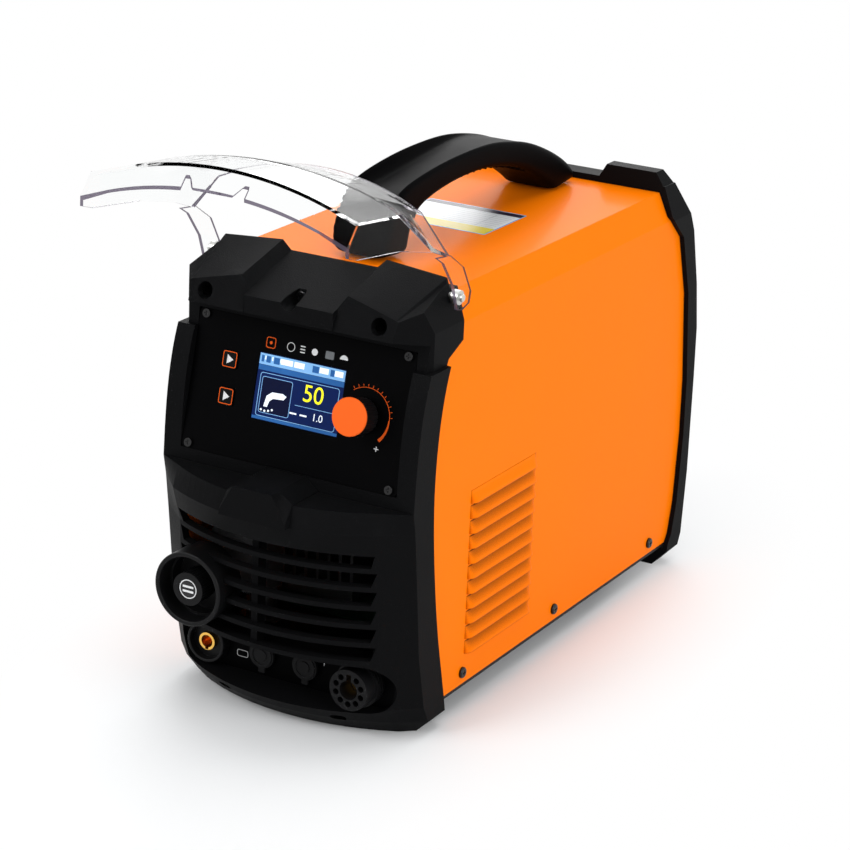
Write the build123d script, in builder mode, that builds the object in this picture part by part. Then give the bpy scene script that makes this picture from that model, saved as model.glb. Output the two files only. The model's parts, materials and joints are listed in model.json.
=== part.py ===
"""Air plasma cutter power source with a folding clear visor over its control panel.

Millimetres, +Z up.  The front faces -Y, and +X is to the right of a person who faces the front.
The origin is the middle of the overall box with the visor lifted, on the floor.
"""
import os
from math import cos, radians, sin

from build123d import *

os.makedirs("parts", exist_ok=True)

# ---------------------------------------------------------------- driving dimensions
COVER_HALF = 95.0            # half width of the folded sheet cover
COVER_LOW, COVER_CREASE, COVER_TOP = 18.5, 286.0, 307.0
COVER_TOP_HALF = 85.6        # half width of the flat top between the shoulder bands
SHEET = 1.0
BEZEL_HALF = 99.0            # half width of the moulded end bezels
WALL = 3.5                   # moulded wall
FACET_X = 79.0               # where the front arc meets the corner facets

VISOR_PIVOT = (-129.0, 306.0)    # y, z
VISOR_OPEN = 92.0                # degrees the visor is lifted in the stored pose
VISOR_SHEET = 2.4
VISOR_HALF = 99.8

PANEL_MID = (-170.4, 227.0)      # y, z of the control panel's centre
PANEL_UP = (0.231, 0.973)        # the panel's upward direction, leaning back
PANEL_W, PANEL_H, PANEL_T = 170.0, 96.0, 3.0
SCREEN_W, SCREEN_H, SCREEN_V = 68.0, 45.4, 4.0
KNOB_AT = (52.5, 0.0)
KEY_AT = ((-55.7, 17.2), (-54.7, -7.8))
KEY_SIZE = 11.5
PANEL_SCREWS = [(u, v) for u in (-79.0, 79.0) for v in (-44.5, 44.5)]

SOCKET_Z = 37.8                  # height of all the front sockets
SOCKET_FACE = -169.0             # y of the socket panel's front
TORCH_BORE_R, TORCH_BORE_END = 6.8, -174.5   # the torch plug's bore, from its end forwards
TORCH_CONTACT_R = 6.4            # brass contact behind the bore, in a pocket 0.05 larger
EARTH_X, SIGNAL_X, TORCH_X = -66.0, (-22.0, 13.0), 57.7
CUP_X, CUP_Z, CUP_FRONT = -56.7, 92.0, -214.0
CUP_R = 26.5
SLOT_LOW, SLOT_PITCH, SLOT_HIGH, SLOTS = 63.5, 13.5, 10.0, 6
SLOT_HALF, SLOT_SLANT = 74.5, 3.5    # half width along a slot's lower edge, and how much its ends lean out
GRILLE_DEPTH = 7.0               # front-to-back depth of the grille bars
BROW_SCREWS = [(-67.3, 293.5), (0.0, 298.0), (67.3, 293.5)]
BROW_RECESS_R = 5.8              # recesses that the brow's screws sit in
BROW_BOSS_W, BROW_BOSS_LOW, BROW_BOSS_TOP = 15.0, 286.0, 299.4    # blocks around them in the hollow brow
PIN_R = 2.5                      # visor pivot pins

REAR_SHEET = 232.0               # y of the rear panel's front
INLET_END = 276.0                # y of the rearmost fitting's tip
FAN_AT = (-14.0, 168.0)          # x, z of the fan's axis
FAN_SIZE, FAN_DEPTH = 120.0, 25.0

FRONT_PLANE = Plane(origin=(0, PANEL_MID[0], PANEL_MID[1]), x_dir=(1, 0, 0),
                    z_dir=(0, -PANEL_UP[1], PANEL_UP[0]))


# ---------------------------------------------------------------- helpers
def save(part, name):
    """Label one sub-part and write it to its own file."""
    part.label = name
    export_step(part, f"parts/{name}.step")


def facing_front(y):
    """Plane across the machine at y: local x to +X, local y up, normal towards the operator."""
    return Plane(origin=(0, y, 0), x_dir=(1, 0, 0), z_dir=(0, -1, 0))


def face_of(plane, points):
    """A closed polygon as a face on a plane."""
    with BuildSketch(plane) as sketch:
        with BuildLine():
            Polyline(*points, close=True)
        make_face()
    return sketch.sketch.face()


def curved_face(plane, curve, corners):
    """A face bounded by a smooth curve through points and straight runs through corners."""
    with BuildSketch(plane) as sketch:
        with BuildLine():
            edge = Spline(*curve)
            Polyline(edge @ 1, *corners, edge @ 0)
        make_face()
    return sketch.sketch.face()


def front_section(z, half, corner, facet, centre, inset=0.0, rear=-100.0):
    """Plan section of the bulged front: straight sides, corner facets and one arc."""
    side = half - min(inset, WALL)
    with BuildSketch(Plane.XY.offset(z)) as sketch:
        with BuildLine():
            bow = ThreePointArc((-FACET_X, facet + inset), (0, centre + inset), (FACET_X, facet + inset))
            Polyline(bow @ 1, (side, corner + inset), (side, rear),
                     (-side, rear), (-side, corner + inset), bow @ 0)
        make_face()
    return sketch.sketch.face()


def turned(y, positions, steps, mode=Mode.ADD):
    """Stacked round steps, each (radius, length), going forwards from y in the part being built."""
    for radius, length in steps:
        with BuildSketch(facing_front(y)) as disc:
            with Locations(*positions):
                Circle(radius)
        extrude(disc.sketch, amount=length, mode=mode)
        y -= length


def both_sides(plane, points, near, far):
    """One outline (y, z) cut into a solid from x = near to x = far, and its mirror image."""
    with BuildPart() as pair:
        with BuildSketch(plane.offset(near)):
            with BuildLine():
                Polyline(*points, close=True)
            make_face()
        extrude(amount=far - near)
        mirror(about=Plane.YZ)
    return pair.part


def shell_outline(grow, low):
    """Outline across the machine that follows the folded cover, grown outwards."""
    return [(-COVER_HALF - grow, low), (-COVER_HALF - grow, COVER_CREASE + grow / 3),
            (-COVER_TOP_HALF - grow / 2, COVER_TOP + grow), (COVER_TOP_HALF + grow / 2, COVER_TOP + grow),
            (COVER_HALF + grow, COVER_CREASE + grow / 3), (COVER_HALF + grow, low)]


# ---------------------------------------------------------------- front bezel
# height, half width, and the y of the corner, of the facet edge and of the centre
FRONT_LEVELS = [
    (0.0, 88.0, -147.0, -155.0, -175.0),
    (11.0, 99.0, -151.0, -166.0, -188.0),
    (24.0, 99.0, -158.0, -177.0, -199.0),
    (64.0, 99.0, -167.5, -187.5, -209.0),
    (131.0, 99.0, -175.5, -190.5, -211.0),
    (157.0, 99.0, -179.0, -199.5, -221.0),
    (171.0, 99.0, -182.0, -193.0, -216.0),
]
FRONT_CREASE = [(-182.0, 171.0), (-180.0, 200.0), (-173.5, 240.0), (-166.0, 262.0)]
FRONT_RIM = [(-126.0, 0.0), (-129.5, 18.0), (-141.0, 65.0), (-150.5, 119.0), (-155.0, 175.0),
             (-153.0, 210.0), (-146.0, 245.0), (-138.0, 266.0)]
BROW_FRONT, BROW_REAR = -184.5, -128.0
SHOULDER = [(95.8, 262.0), (95.8, 288.0), (88.0, 309.0)]


def recess_outline(grow=0.0):
    """Long round-ended outline of the socket recess, on the socket panel's face."""
    with BuildSketch(facing_front(SOCKET_FACE)) as sketch:
        with Locations((0, 38.4)):
            RectangleRounded(2 * (86.0 + grow), 2 * (17.4 + grow), 17.3 + grow)
    return sketch.sketch


front_levels = [front_section(*level) for level in FRONT_LEVELS]
hollow_levels = [front_section(4.0, 92.0, -148.5, -159.0, -179.7, inset=GRILLE_DEPTH)]
hollow_levels += [front_section(*level, inset=GRILLE_DEPTH) for level in FRONT_LEVELS[1:-1]]
hollow_levels += [front_section(167.5, *FRONT_LEVELS[-1][1:], inset=GRILLE_DEPTH)]
upper_side = curved_face(Plane.YZ, FRONT_CREASE, [(-100, 262), (-100, 171)])
brow_side = face_of(Plane.YZ, [(BROW_FRONT + 0.5, 285), (BROW_FRONT, 297.2), (BROW_REAR, 315.2),
                               (BROW_REAR, 310.5), (-119, 310.5), (-119, 250), (-163, 250), (-160, 280)])
block_front = face_of(facing_front(BROW_FRONT), [(34.4, 285), (34.4, 297.2), (41, 306.3), (78, 297.5),
                                                 (95.8, 290), (95.8, 285)])
block_rear = face_of(facing_front(BROW_REAR), [(33.8, 290), (33.8, 315.2), (40.6, 321.5), (87, 317.5),
                                               (95.8, 300), (95.8, 290)])
rim_waste = curved_face(Plane.YZ, FRONT_RIM, [(-118, 275), (-60, 275), (-60, 0)])
lean_waste = both_sides(Plane.YZ, [(-190, 284), (-184, 284), (-172.5, 323), (-190, 323)], 34.4, 120)

nose_front = face_of(facing_front(-223.5), [(-26, 157), (26, 157), (25.9, 160.2), (15, 179), (-15, 179),
                                            (-25.9, 160.2)])
nose_back = face_of(facing_front(-214), [(-26, 157), (26, 157), (25.4, 171.7), (15, 179.6), (-15, 179.6),
                                         (-25.4, 171.7)])

with BuildPart() as front_cavity:
    loft(sections=hollow_levels, ruled=True)
    extrude(recess_outline(WALL), amount=60, taper=-6, mode=Mode.SUBTRACT)

with BuildPart() as front_bezel:
    loft(sections=front_levels, ruled=True)
    # centre block standing between the two wings
    loft(sections=[nose_front, nose_back], ruled=True)
    extrude(nose_back, amount=-50)
    # frame beside the control panel, and the brow over it
    extrude(upper_side, amount=BEZEL_HALF, both=True)
    extrude(brow_side, amount=95.8, both=True)
    loft(sections=[block_front, block_rear], ruled=True)
    loft(sections=[block_front.mirror(Plane.YZ), block_rear.mirror(Plane.YZ)], ruled=True)
    add(lean_waste, mode=Mode.SUBTRACT)
    with BuildSketch(Plane.XY.offset(262)):
        with BuildLine():
            Polyline((79, -190), (79, -183), (97, -156), (110, -156), (110, -190), close=True)
        make_face()
        mirror(about=Plane.YZ)
    extrude(amount=80, mode=Mode.SUBTRACT)
    with BuildSketch(facing_front(-100)):
        with BuildLine():
            Polyline((95.8, 288), (86.5, 318), (86.5, 340), (120, 340), (120, 288), close=True)
        make_face()
        mirror(about=Plane.YZ)
    extrude(amount=120, mode=Mode.SUBTRACT)
    extrude(rim_waste, amount=120, both=True, mode=Mode.SUBTRACT)
    # hollow behind the grille, behind the panel and over the cover's front end
    add(front_cavity.part, mode=Mode.SUBTRACT)
    with BuildSketch(facing_front(-60)):
        with BuildLine():
            Polyline(*shell_outline(0.3, 60), close=True)
        make_face()
    extrude(amount=91, mode=Mode.SUBTRACT)
    with BuildSketch(facing_front(-60)):
        with Locations((0, 200)):
            Rectangle(2 * COVER_HALF + 0.6, 100)
    extrude(amount=103, mode=Mode.SUBTRACT)
    with BuildSketch(Plane.YZ):
        with BuildLine():
            Polyline((-177, 288.5), (-177, 291), (-150, 299.5), (-140, 299.5), (-140, 284), (-158, 284),
                     close=True)
        make_face()
    extrude(amount=76, both=True, mode=Mode.SUBTRACT)
    with BuildSketch(FRONT_PLANE.offset(-10)):
        with Locations((0, -2)):
            Rectangle(2 * COVER_HALF + 0.6, 88)
    extrude(amount=-40, mode=Mode.SUBTRACT)
    # seat and window of the control panel, with a screw boss in each corner
    with BuildSketch(FRONT_PLANE.offset(-PANEL_T)):
        Rectangle(PANEL_W + 0.6, PANEL_H + 0.6)
    extrude(amount=30, mode=Mode.SUBTRACT)
    with BuildSketch(FRONT_PLANE):
        Rectangle(PANEL_W - 9, PANEL_H - 8)
        with Locations(*PANEL_SCREWS):
            Circle(6, mode=Mode.SUBTRACT)
    extrude(amount=-60, mode=Mode.SUBTRACT)
    with BuildSketch(FRONT_PLANE):
        with Locations(*PANEL_SCREWS):
            Circle(1.5)
    extrude(amount=-10, mode=Mode.SUBTRACT)
    # curved grille slots with one upright rib behind them
    with BuildSketch(facing_front(-184)):
        for row in range(SLOTS):
            low = SLOT_LOW + row * SLOT_PITCH
            with BuildLine():
                Polyline((-SLOT_HALF, low), (SLOT_HALF, low), (SLOT_HALF + SLOT_SLANT, low + SLOT_HIGH),
                         (-SLOT_HALF - SLOT_SLANT, low + SLOT_HIGH), close=True)
            make_face()
    extrude(amount=50, mode=Mode.SUBTRACT)
    with BuildSketch(Plane.XY.offset(60)):
        with Locations((-8.5, -199.5)):
            Rectangle(5, 10)
    extrude(amount=84)
    # socket recess, regulator hole, screw bores, lip slots and visor pivot holes
    extrude(recess_outline(), amount=60, taper=-6, mode=Mode.SUBTRACT)
    with BuildSketch(facing_front(-150)):
        with Locations((CUP_X, CUP_Z)):
            Circle(CUP_R + 0.3)
    extrude(amount=90, mode=Mode.SUBTRACT)
    with BuildSketch(facing_front(-151)):
        with Locations(*((x, (BROW_BOSS_LOW + BROW_BOSS_TOP) / 2) for x, _ in BROW_SCREWS)):
            Rectangle(BROW_BOSS_W, BROW_BOSS_TOP - BROW_BOSS_LOW)
    extrude(amount=23)
    with BuildSketch(facing_front(-166)):
        with Locations(*BROW_SCREWS):
            Circle(BROW_RECESS_R)
    extrude(amount=30, mode=Mode.SUBTRACT)
    with BuildSketch(facing_front(-140)):
        with Locations(*BROW_SCREWS):
            Circle(2.2)
    extrude(amount=30, mode=Mode.SUBTRACT)
    with BuildSketch(facing_front(-170)):
        with Locations((-46, 12), (46, 12)):
            SlotOverall(11, 4.5)
    extrude(amount=40, mode=Mode.SUBTRACT)
    with BuildSketch(Plane.YZ.offset(-110)):
        with Locations(VISOR_PIVOT):
            Circle(PIN_R)
    extrude(amount=26, mode=Mode.SUBTRACT)
    with BuildSketch(Plane.YZ.offset(84)):
        with Locations(VISOR_PIVOT):
            Circle(PIN_R)
    extrude(amount=26, mode=Mode.SUBTRACT)
save(front_bezel.part, "front_bezel")

with BuildPart() as brow_screws:
    with BuildSketch(facing_front(-166)):
        with Locations(*BROW_SCREWS):
            Circle(3.8)
            RegularPolygon(1.6, 6, mode=Mode.SUBTRACT)
    extrude(amount=3)
    with BuildSketch(facing_front(-148)):
        with Locations(*BROW_SCREWS):
            Circle(2.0)
    extrude(amount=18)
save(brow_screws.part, "brow_screws")

# ---------------------------------------------------------------- control panel and what it carries
with BuildPart() as control_panel:
    with BuildSketch(FRONT_PLANE.offset(-PANEL_T)):
        RectangleRounded(PANEL_W, PANEL_H, 3)
        with Locations((0, SCREEN_V)):
            Rectangle(SCREEN_W, SCREEN_H, mode=Mode.SUBTRACT)
        with Locations(*KEY_AT):
            RectangleRounded(KEY_SIZE + 0.5, KEY_SIZE + 0.5, 1.2, mode=Mode.SUBTRACT)
        with Locations(KNOB_AT):
            Circle(3.7, mode=Mode.SUBTRACT)
        with Locations(*PANEL_SCREWS):
            Circle(1.7, mode=Mode.SUBTRACT)
    extrude(amount=PANEL_T)
save(control_panel.part, "control_panel")

with BuildPart() as panel_screws:
    with BuildSketch(FRONT_PLANE):
        with Locations(*PANEL_SCREWS):
            Circle(3)
    extrude(amount=1.8)
    with BuildSketch(FRONT_PLANE.offset(1.0)):
        with Locations(*PANEL_SCREWS):
            Rectangle(3.4, 0.7)
            Rectangle(0.7, 3.4)
    extrude(amount=1, mode=Mode.SUBTRACT)
    with BuildSketch(FRONT_PLANE):
        with Locations(*PANEL_SCREWS):
            Circle(1.45)
    extrude(amount=-9.5)
save(panel_screws.part, "panel_screws")

with BuildPart() as display_module:
    with BuildSketch(FRONT_PLANE.offset(-8)):
        with Locations((0, SCREEN_V)):
            Rectangle(SCREEN_W + 8, SCREEN_H + 8)
    extrude(amount=5)
    with BuildSketch(FRONT_PLANE.offset(-3)):
        with Locations((0, SCREEN_V)):
            Rectangle(SCREEN_W - 0.4, SCREEN_H - 0.4)
    extrude(amount=1.6)
save(display_module.part, "display_module")

with BuildPart() as display_lens:
    with BuildSketch(FRONT_PLANE.offset(-1.4)):
        with Locations((0, SCREEN_V)):
            Rectangle(SCREEN_W - 0.4, SCREEN_H - 0.4)
    extrude(amount=1.2)
save(display_lens.part, "display_lens")

BOARD_FRONT = -14.4          # the control board's front face, behind the panel's front
with BuildPart() as control_board:
    with BuildSketch(FRONT_PLANE.offset(BOARD_FRONT - 1.6)):
        Rectangle(144, 80)
    extrude(amount=1.6)
save(control_board.part, "control_board")

with BuildPart() as board_spacers:
    with BuildSketch(FRONT_PLANE.offset(BOARD_FRONT)):
        with GridLocations(134, 70, 2, 2):
            RegularPolygon(3, 6)
    extrude(amount=-BOARD_FRONT - PANEL_T)
save(board_spacers.part, "board_spacers")

for name, (u, v) in zip(("cut_mode_key", "air_test_key"), KEY_AT):
    with BuildPart() as key:
        with BuildSketch(FRONT_PLANE.offset(-3.2)):
            with Locations((u, v)):
                RectangleRounded(KEY_SIZE, KEY_SIZE, 1.0)
        extrude(amount=4.4)
        with BuildSketch(FRONT_PLANE.offset(-4.4)):
            with Locations((u, v)):
                Rectangle(KEY_SIZE + 3, KEY_SIZE + 3)
        extrude(amount=1.2)
        with BuildSketch(FRONT_PLANE.offset(-11.8)):
            with Locations((u, v)):
                Circle(1.6)
        extrude(amount=7.4)
    save(key.part, name)

with BuildPart() as key_switches:
    with BuildSketch(FRONT_PLANE.offset(BOARD_FRONT)):
        with Locations(*KEY_AT):
            Rectangle(6, 6)
    extrude(amount=1.4)
save(key_switches.part, "key_switches")

with BuildPart() as encoder_body:
    with BuildSketch(FRONT_PLANE.offset(BOARD_FRONT)):
        with Locations(KNOB_AT):
            Rectangle(12.5, 13.5)
    extrude(amount=6.5)
    with BuildSketch(FRONT_PLANE.offset(BOARD_FRONT + 6.5)):
        with Locations(KNOB_AT):
            Circle(3.5)
    extrude(amount=11.5)
    with BuildSketch(FRONT_PLANE.offset(BOARD_FRONT + 0.8)):
        with Locations(KNOB_AT):
            Circle(3.6)
    extrude(amount=3.6, mode=Mode.SUBTRACT)
    with BuildSketch(FRONT_PLANE.offset(BOARD_FRONT + 2)):
        with Locations(KNOB_AT):
            Circle(3.05)
    extrude(amount=18, mode=Mode.SUBTRACT)
save(encoder_body.part, "encoder_body")

with BuildPart() as encoder_nut:
    with BuildSketch(FRONT_PLANE):
        with Locations(KNOB_AT):
            RegularPolygon(5.6, 6)
            Circle(3.52, mode=Mode.SUBTRACT)
    extrude(amount=2)
save(encoder_nut.part, "encoder_nut")

with BuildPart() as encoder_plunger:
    with BuildSketch(FRONT_PLANE.offset(BOARD_FRONT + 1.5)):
        with Locations(KNOB_AT):
            Circle(3.3)
    extrude(amount=0.9)
save(encoder_plunger.part, "encoder_plunger")

with BuildPart() as encoder_shaft:
    with BuildSketch(FRONT_PLANE.offset(BOARD_FRONT + 2.6)):
        with Locations(KNOB_AT):
            Circle(3.0)
    extrude(amount=28)
save(encoder_shaft.part, "encoder_shaft")

with BuildPart() as knob_skirt:
    with BuildSketch(FRONT_PLANE.offset(4.0)):
        with Locations(KNOB_AT):
            Circle(12.4)
    extrude(amount=15.2, taper=1)
    with BuildSketch(FRONT_PLANE.offset(4.0)):
        with Locations(KNOB_AT):
            Circle(7.5)
    extrude(amount=4, mode=Mode.SUBTRACT)
    with BuildSketch(FRONT_PLANE.offset(4.0)):
        with Locations(KNOB_AT):
            Circle(3.0)
    extrude(amount=12.2, mode=Mode.SUBTRACT)
    with BuildSketch(FRONT_PLANE.offset(4.0)):
        with Locations(KNOB_AT):
            with PolarLocations(12.6, 24):
                Circle(0.6)
    extrude(amount=13, mode=Mode.SUBTRACT)
save(knob_skirt.part, "knob_skirt")

with BuildPart() as knob_cap:
    with BuildSketch(FRONT_PLANE.offset(19.2)):
        with Locations(KNOB_AT):
            Circle(12.9)
    extrude(amount=1.8)
    chamfer(knob_cap.edges().filter_by(GeomType.CIRCLE).group_by(Axis.Y)[0], 0.5)
save(knob_cap.part, "knob_cap")

# ---------------------------------------------------------------- clear visor
# drawn shut, in a plane turned about the pivot so that it comes out lifted
VISOR_PLANE = Plane(origin=(0, VISOR_PIVOT[0], VISOR_PIVOT[1]), x_dir=(1, 0, 0),
                    z_dir=(0, sin(radians(VISOR_OPEN)), cos(radians(VISOR_OPEN))))


def visor_section(z, rear, side, shoulder, centre, inset=0.0):
    """Level section of the shut visor: straight cheeks, small shoulders and a bowed face."""
    half = VISOR_HALF - inset
    height = z - VISOR_PIVOT[1]
    y0 = VISOR_PIVOT[0]
    with BuildSketch(VISOR_PLANE.offset(height)) as sketch:
        with BuildLine():
            bow = ThreePointArc((-78, shoulder - y0 + inset), (0, centre - y0 + inset),
                                (78, shoulder - y0 + inset))
            Polyline(bow @ 1, (half, side - y0 + inset), (half, rear - y0 + 30 * (inset > 0)),
                     (-half, rear - y0 + 30 * (inset > 0)), (-half, side - y0 + inset), bow @ 0)
        make_face()
    return sketch.sketch.face()


# height, and the y of the cheek's rear edge, cheek front, shoulder and centre
VISOR_LEVELS = [
    (157.0, -184.0, -190.5, -198.0, -210.0),
    (168.0, -181.0, -204.5, -211.0, -223.0),
    (220.0, -176.5, -200.5, -208.0, -219.0),
    (262.0, -168.0, -171.0, -195.0, -209.0),
    (283.0, -161.0, -162.5, -187.0, -205.0),
]
ARM = [(-122.5, 299), (-121, 306), (-124, 315), (-132, 316.5), (-150, 305), (-161.5, 286), (-163, 268),
       (-158, 277), (-140, 292)]
local_arm = [(y - VISOR_PIVOT[0], z - VISOR_PIVOT[1]) for y, z in ARM]
VISOR_SIDE = Plane(origin=(0, VISOR_PIVOT[0], VISOR_PIVOT[1]), x_dir=VISOR_PLANE.y_dir, z_dir=(1, 0, 0))

with BuildPart() as visor:
    loft(sections=[visor_section(*level) for level in VISOR_LEVELS], ruled=True)
    loft(sections=[visor_section(*level, inset=VISOR_SHEET) for level in
                   [(156.0, -184.0, -189.0, -197.0, -208.5)] + VISOR_LEVELS[1:-1]
                   + [(285.0, -161.0, -162.0, -186.5, -204.6)]], ruled=True, mode=Mode.SUBTRACT)
    for inner_face in (VISOR_HALF - VISOR_SHEET, -VISOR_HALF):
        with BuildSketch(VISOR_SIDE.offset(inner_face)):
            with BuildLine():
                Polyline(*local_arm, close=True)
            make_face()
        extrude(amount=VISOR_SHEET)
    with BuildSketch(VISOR_SIDE.offset(-110)):
        Circle(PIN_R + 0.05)
    extrude(amount=220, mode=Mode.SUBTRACT)
    with BuildSketch(VISOR_PLANE.offset(150 - VISOR_PIVOT[1])):
        with BuildLine():
            Polyline((-23.5, -90), (-14.5, -79), (14.5, -79), (23.5, -90), (23.5, -60), (-23.5, -60),
                     close=True)
        make_face()
    extrude(amount=12.5, mode=Mode.SUBTRACT)
save(visor.part, "visor")

with BuildPart() as visor_pins:
    with BuildSketch(Plane.YZ.offset(88.2)):
        with Locations(VISOR_PIVOT):
            Circle(PIN_R - 0.02)
    extrude(amount=VISOR_HALF - 88.2)
    with BuildSketch(Plane.YZ.offset(92.5)):
        with Locations(VISOR_PIVOT):
            Circle(5)
    extrude(amount=4.4)
    mirror(about=Plane.YZ)
save(visor_pins.part, "visor_pins")

# ---------------------------------------------------------------- air pressure regulator
CUP = [(CUP_X, CUP_Z)]


with BuildPart() as regulator_cup:
    turned(-187, CUP, [(CUP_R, -CUP_FRONT - 187)])
    turned(-190, CUP, [(CUP_R - 5, 10), (CUP_R - 3.5, 30)], mode=Mode.SUBTRACT)
    turned(-170, CUP, [(9, 25)], mode=Mode.SUBTRACT)
    fillet(regulator_cup.edges().filter_by(GeomType.CIRCLE).group_by(Axis.Y)[0], 1.2)
save(regulator_cup.part, "regulator_cup")

with BuildPart() as regulator_body:
    turned(-150, CUP, [(17, 36.9), (8.7, 2)])
    with BuildSketch(facing_front(-128)):
        with Locations(CUP[0]):
            RectangleRounded(44, 44, 4)
    extrude(amount=24)
    turned(-131.8, CUP, [(3.05, 60)], mode=Mode.SUBTRACT)
save(regulator_body.part, "regulator_body")

with BuildPart() as regulator_sleeve:
    turned(-192.5, CUP, [(7.0, 2.0)])
    turned(-180, CUP, [(3.1, 30)], mode=Mode.SUBTRACT)
save(regulator_sleeve.part, "regulator_sleeve")

with BuildPart() as regulator_spindle:
    turned(-132, CUP, [(3.0, 70)])
save(regulator_spindle.part, "regulator_spindle")

with BuildPart() as regulator_knob:
    turned(-195, CUP, [(11.2, 4), (11.8, 14)])
    with BuildSketch(facing_front(-195)):
        with Locations(CUP[0]):
            with PolarLocations(12, 30):
                Circle(0.5)
    extrude(amount=17.5, mode=Mode.SUBTRACT)
    turned(-211.6, CUP, [(7.6, 10)], mode=Mode.SUBTRACT)
    turned(-180, CUP, [(3.0, 22)], mode=Mode.SUBTRACT)
save(regulator_knob.part, "regulator_knob")

with BuildPart() as regulator_badge:
    turned(-211.6, CUP, [(7.5, 1.0)])
save(regulator_badge.part, "regulator_badge")

# ---------------------------------------------------------------- socket panel and sockets
EARTH, TORCH = [(EARTH_X, SOCKET_Z)], [(TORCH_X, SOCKET_Z)]
SIGNALS = [(x, SOCKET_Z) for x in SIGNAL_X]
with BuildPart() as socket_panel:
    with BuildSketch(facing_front(SOCKET_FACE + 3)):
        with Locations((0, 38.4)):
            RectangleRounded(184, 44, 8)
        with Locations(*EARTH):
            Circle(11, mode=Mode.SUBTRACT)
        with Locations(*TORCH):
            Circle(15, mode=Mode.SUBTRACT)
        with Locations(*SIGNALS):
            Circle(7, mode=Mode.SUBTRACT)
    extrude(amount=3)
    add(front_cavity.part, mode=Mode.INTERSECT)
save(socket_panel.part, "socket_panel")

with BuildPart() as earth_socket_collar:
    turned(-160, EARTH, [(10.9, 9), (15.0, 8)])
    turned(-171, EARTH, [(12.8, 20)], mode=Mode.SUBTRACT)
    turned(-150, EARTH, [(6.5, 40)], mode=Mode.SUBTRACT)
    fillet(earth_socket_collar.edges().filter_by(GeomType.CIRCLE).group_by(Axis.Y)[0], 0.7)
save(earth_socket_collar.part, "earth_socket_collar")

with BuildPart() as earth_socket_contact:
    turned(-137, EARTH, [(4.0, 11), (9.0, 4), (6.4, 23)])
    turned(-153, EARTH, [(4.5, 40)], mode=Mode.SUBTRACT)
    with BuildSketch(facing_front(-160)):
        with Locations((EARTH_X, SOCKET_Z - 4.5)):
            Rectangle(2.6, 3)
    extrude(amount=20, mode=Mode.SUBTRACT)
save(earth_socket_contact.part, "earth_socket_contact")

for name, spot in zip(("signal_socket_left", "signal_socket_right"), SIGNALS):
    with BuildPart() as socket:
        turned(-151, [spot], [(6.0, 15), (6.9, 3), (8.2, 1.6)])
        turned(-156, [spot], [(4.6, 30)], mode=Mode.SUBTRACT)
        for side in (-1, 1):
            turned(-150, [(spot[0] + 2 * side, spot[1])], [(0.8, 17)])
    save(socket.part, name)

CAP_BACK, CAP_R = -171.0, 9.8
for name, spot in zip(("dust_cap_left", "dust_cap_right"), SIGNALS):
    with BuildPart() as cap:
        turned(CAP_BACK, [spot], [(CAP_R, 2.4)])
        turned(CAP_BACK - 2.4, [spot], [(CAP_R - 1.2, 0.8)])
        turned(CAP_BACK - 2.6, [spot], [(CAP_R - 3.2, 2)], mode=Mode.SUBTRACT)
        turned(CAP_BACK - 2.4, [spot], [(4.2, 0.9)])
        turned(CAP_BACK + 2, [spot], [(4.0, 2.5)])
        turned(CAP_BACK + 2.2, [spot], [(3.0, 3.2)], mode=Mode.SUBTRACT)
        with BuildSketch(facing_front(CAP_BACK)):
            with Locations((spot[0], spot[1] - CAP_R - 1)):
                RectangleRounded(5, 5, 1)
        extrude(amount=1.8)
    save(cap.part, name)

with BuildPart() as torch_socket_body:
    turned(-140, TORCH, [(13.5, 26), (14.8, 3), (16.4, 9), (14.8, 11)])
    turned(-165, TORCH, [(TORCH_CONTACT_R + 0.05, -165 - TORCH_BORE_END), (TORCH_BORE_R, 50)],
           mode=Mode.SUBTRACT)
    turned(-135, TORCH, [(5.2, 40)], mode=Mode.SUBTRACT)
    with BuildSketch(facing_front(-176)):
        with Locations(TORCH[0]):
            with PolarLocations(10.2, 9, start_angle=126, angular_range=288 * 9 / 8):
                Circle(2.2)
        with Locations((TORCH_X, SOCKET_Z + 8.4)):
            Rectangle(3.6, 6)
    extrude(amount=30, mode=Mode.SUBTRACT)
    for step in range(3):
        with BuildSketch(facing_front(-171.4 - 2.6 * step)):
            with Locations(*TORCH):
                Circle(20)
                Circle(15.7, mode=Mode.SUBTRACT)
        extrude(amount=1.0, mode=Mode.SUBTRACT)
save(torch_socket_body.part, "torch_socket_body")

with BuildPart() as torch_socket_contact:
    turned(-128, TORCH, [(5.0, 38.5), (TORCH_CONTACT_R, -166.5 - TORCH_BORE_END)])
    turned(-120, TORCH, [(3.2, 80)], mode=Mode.SUBTRACT)
save(torch_socket_contact.part, "torch_socket_contact")

with BuildPart() as torch_socket_nut:
    with BuildSketch(facing_front(-158)):
        with Locations(TORCH[0]):
            RegularPolygon(19, 6)
            Circle(13.55, mode=Mode.SUBTRACT)
    extrude(amount=8)
save(torch_socket_nut.part, "torch_socket_nut")

# ---------------------------------------------------------------- folded sheet cover
COVER_SIDE = [(-145, 18.5), (-155, 65), (-161, 119), (-161, 240), (-150, 249), (-150, 310), (201, 310),
              (203, 290), (222, 268), (236, 222), (240, 184), (244, 106), (241, 50), (234, 25), (231, 18.5)]
LOUVRES, LOUVRE_PITCH, LOUVRE_TOP, LOUVRE_Y = 11, 11.3, 161.3, (-97.0, -3.0)
COVER_SCREWS = [(-99.0, 27.5), (38.0, 27.5), (197.5, 27.5)]

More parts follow.
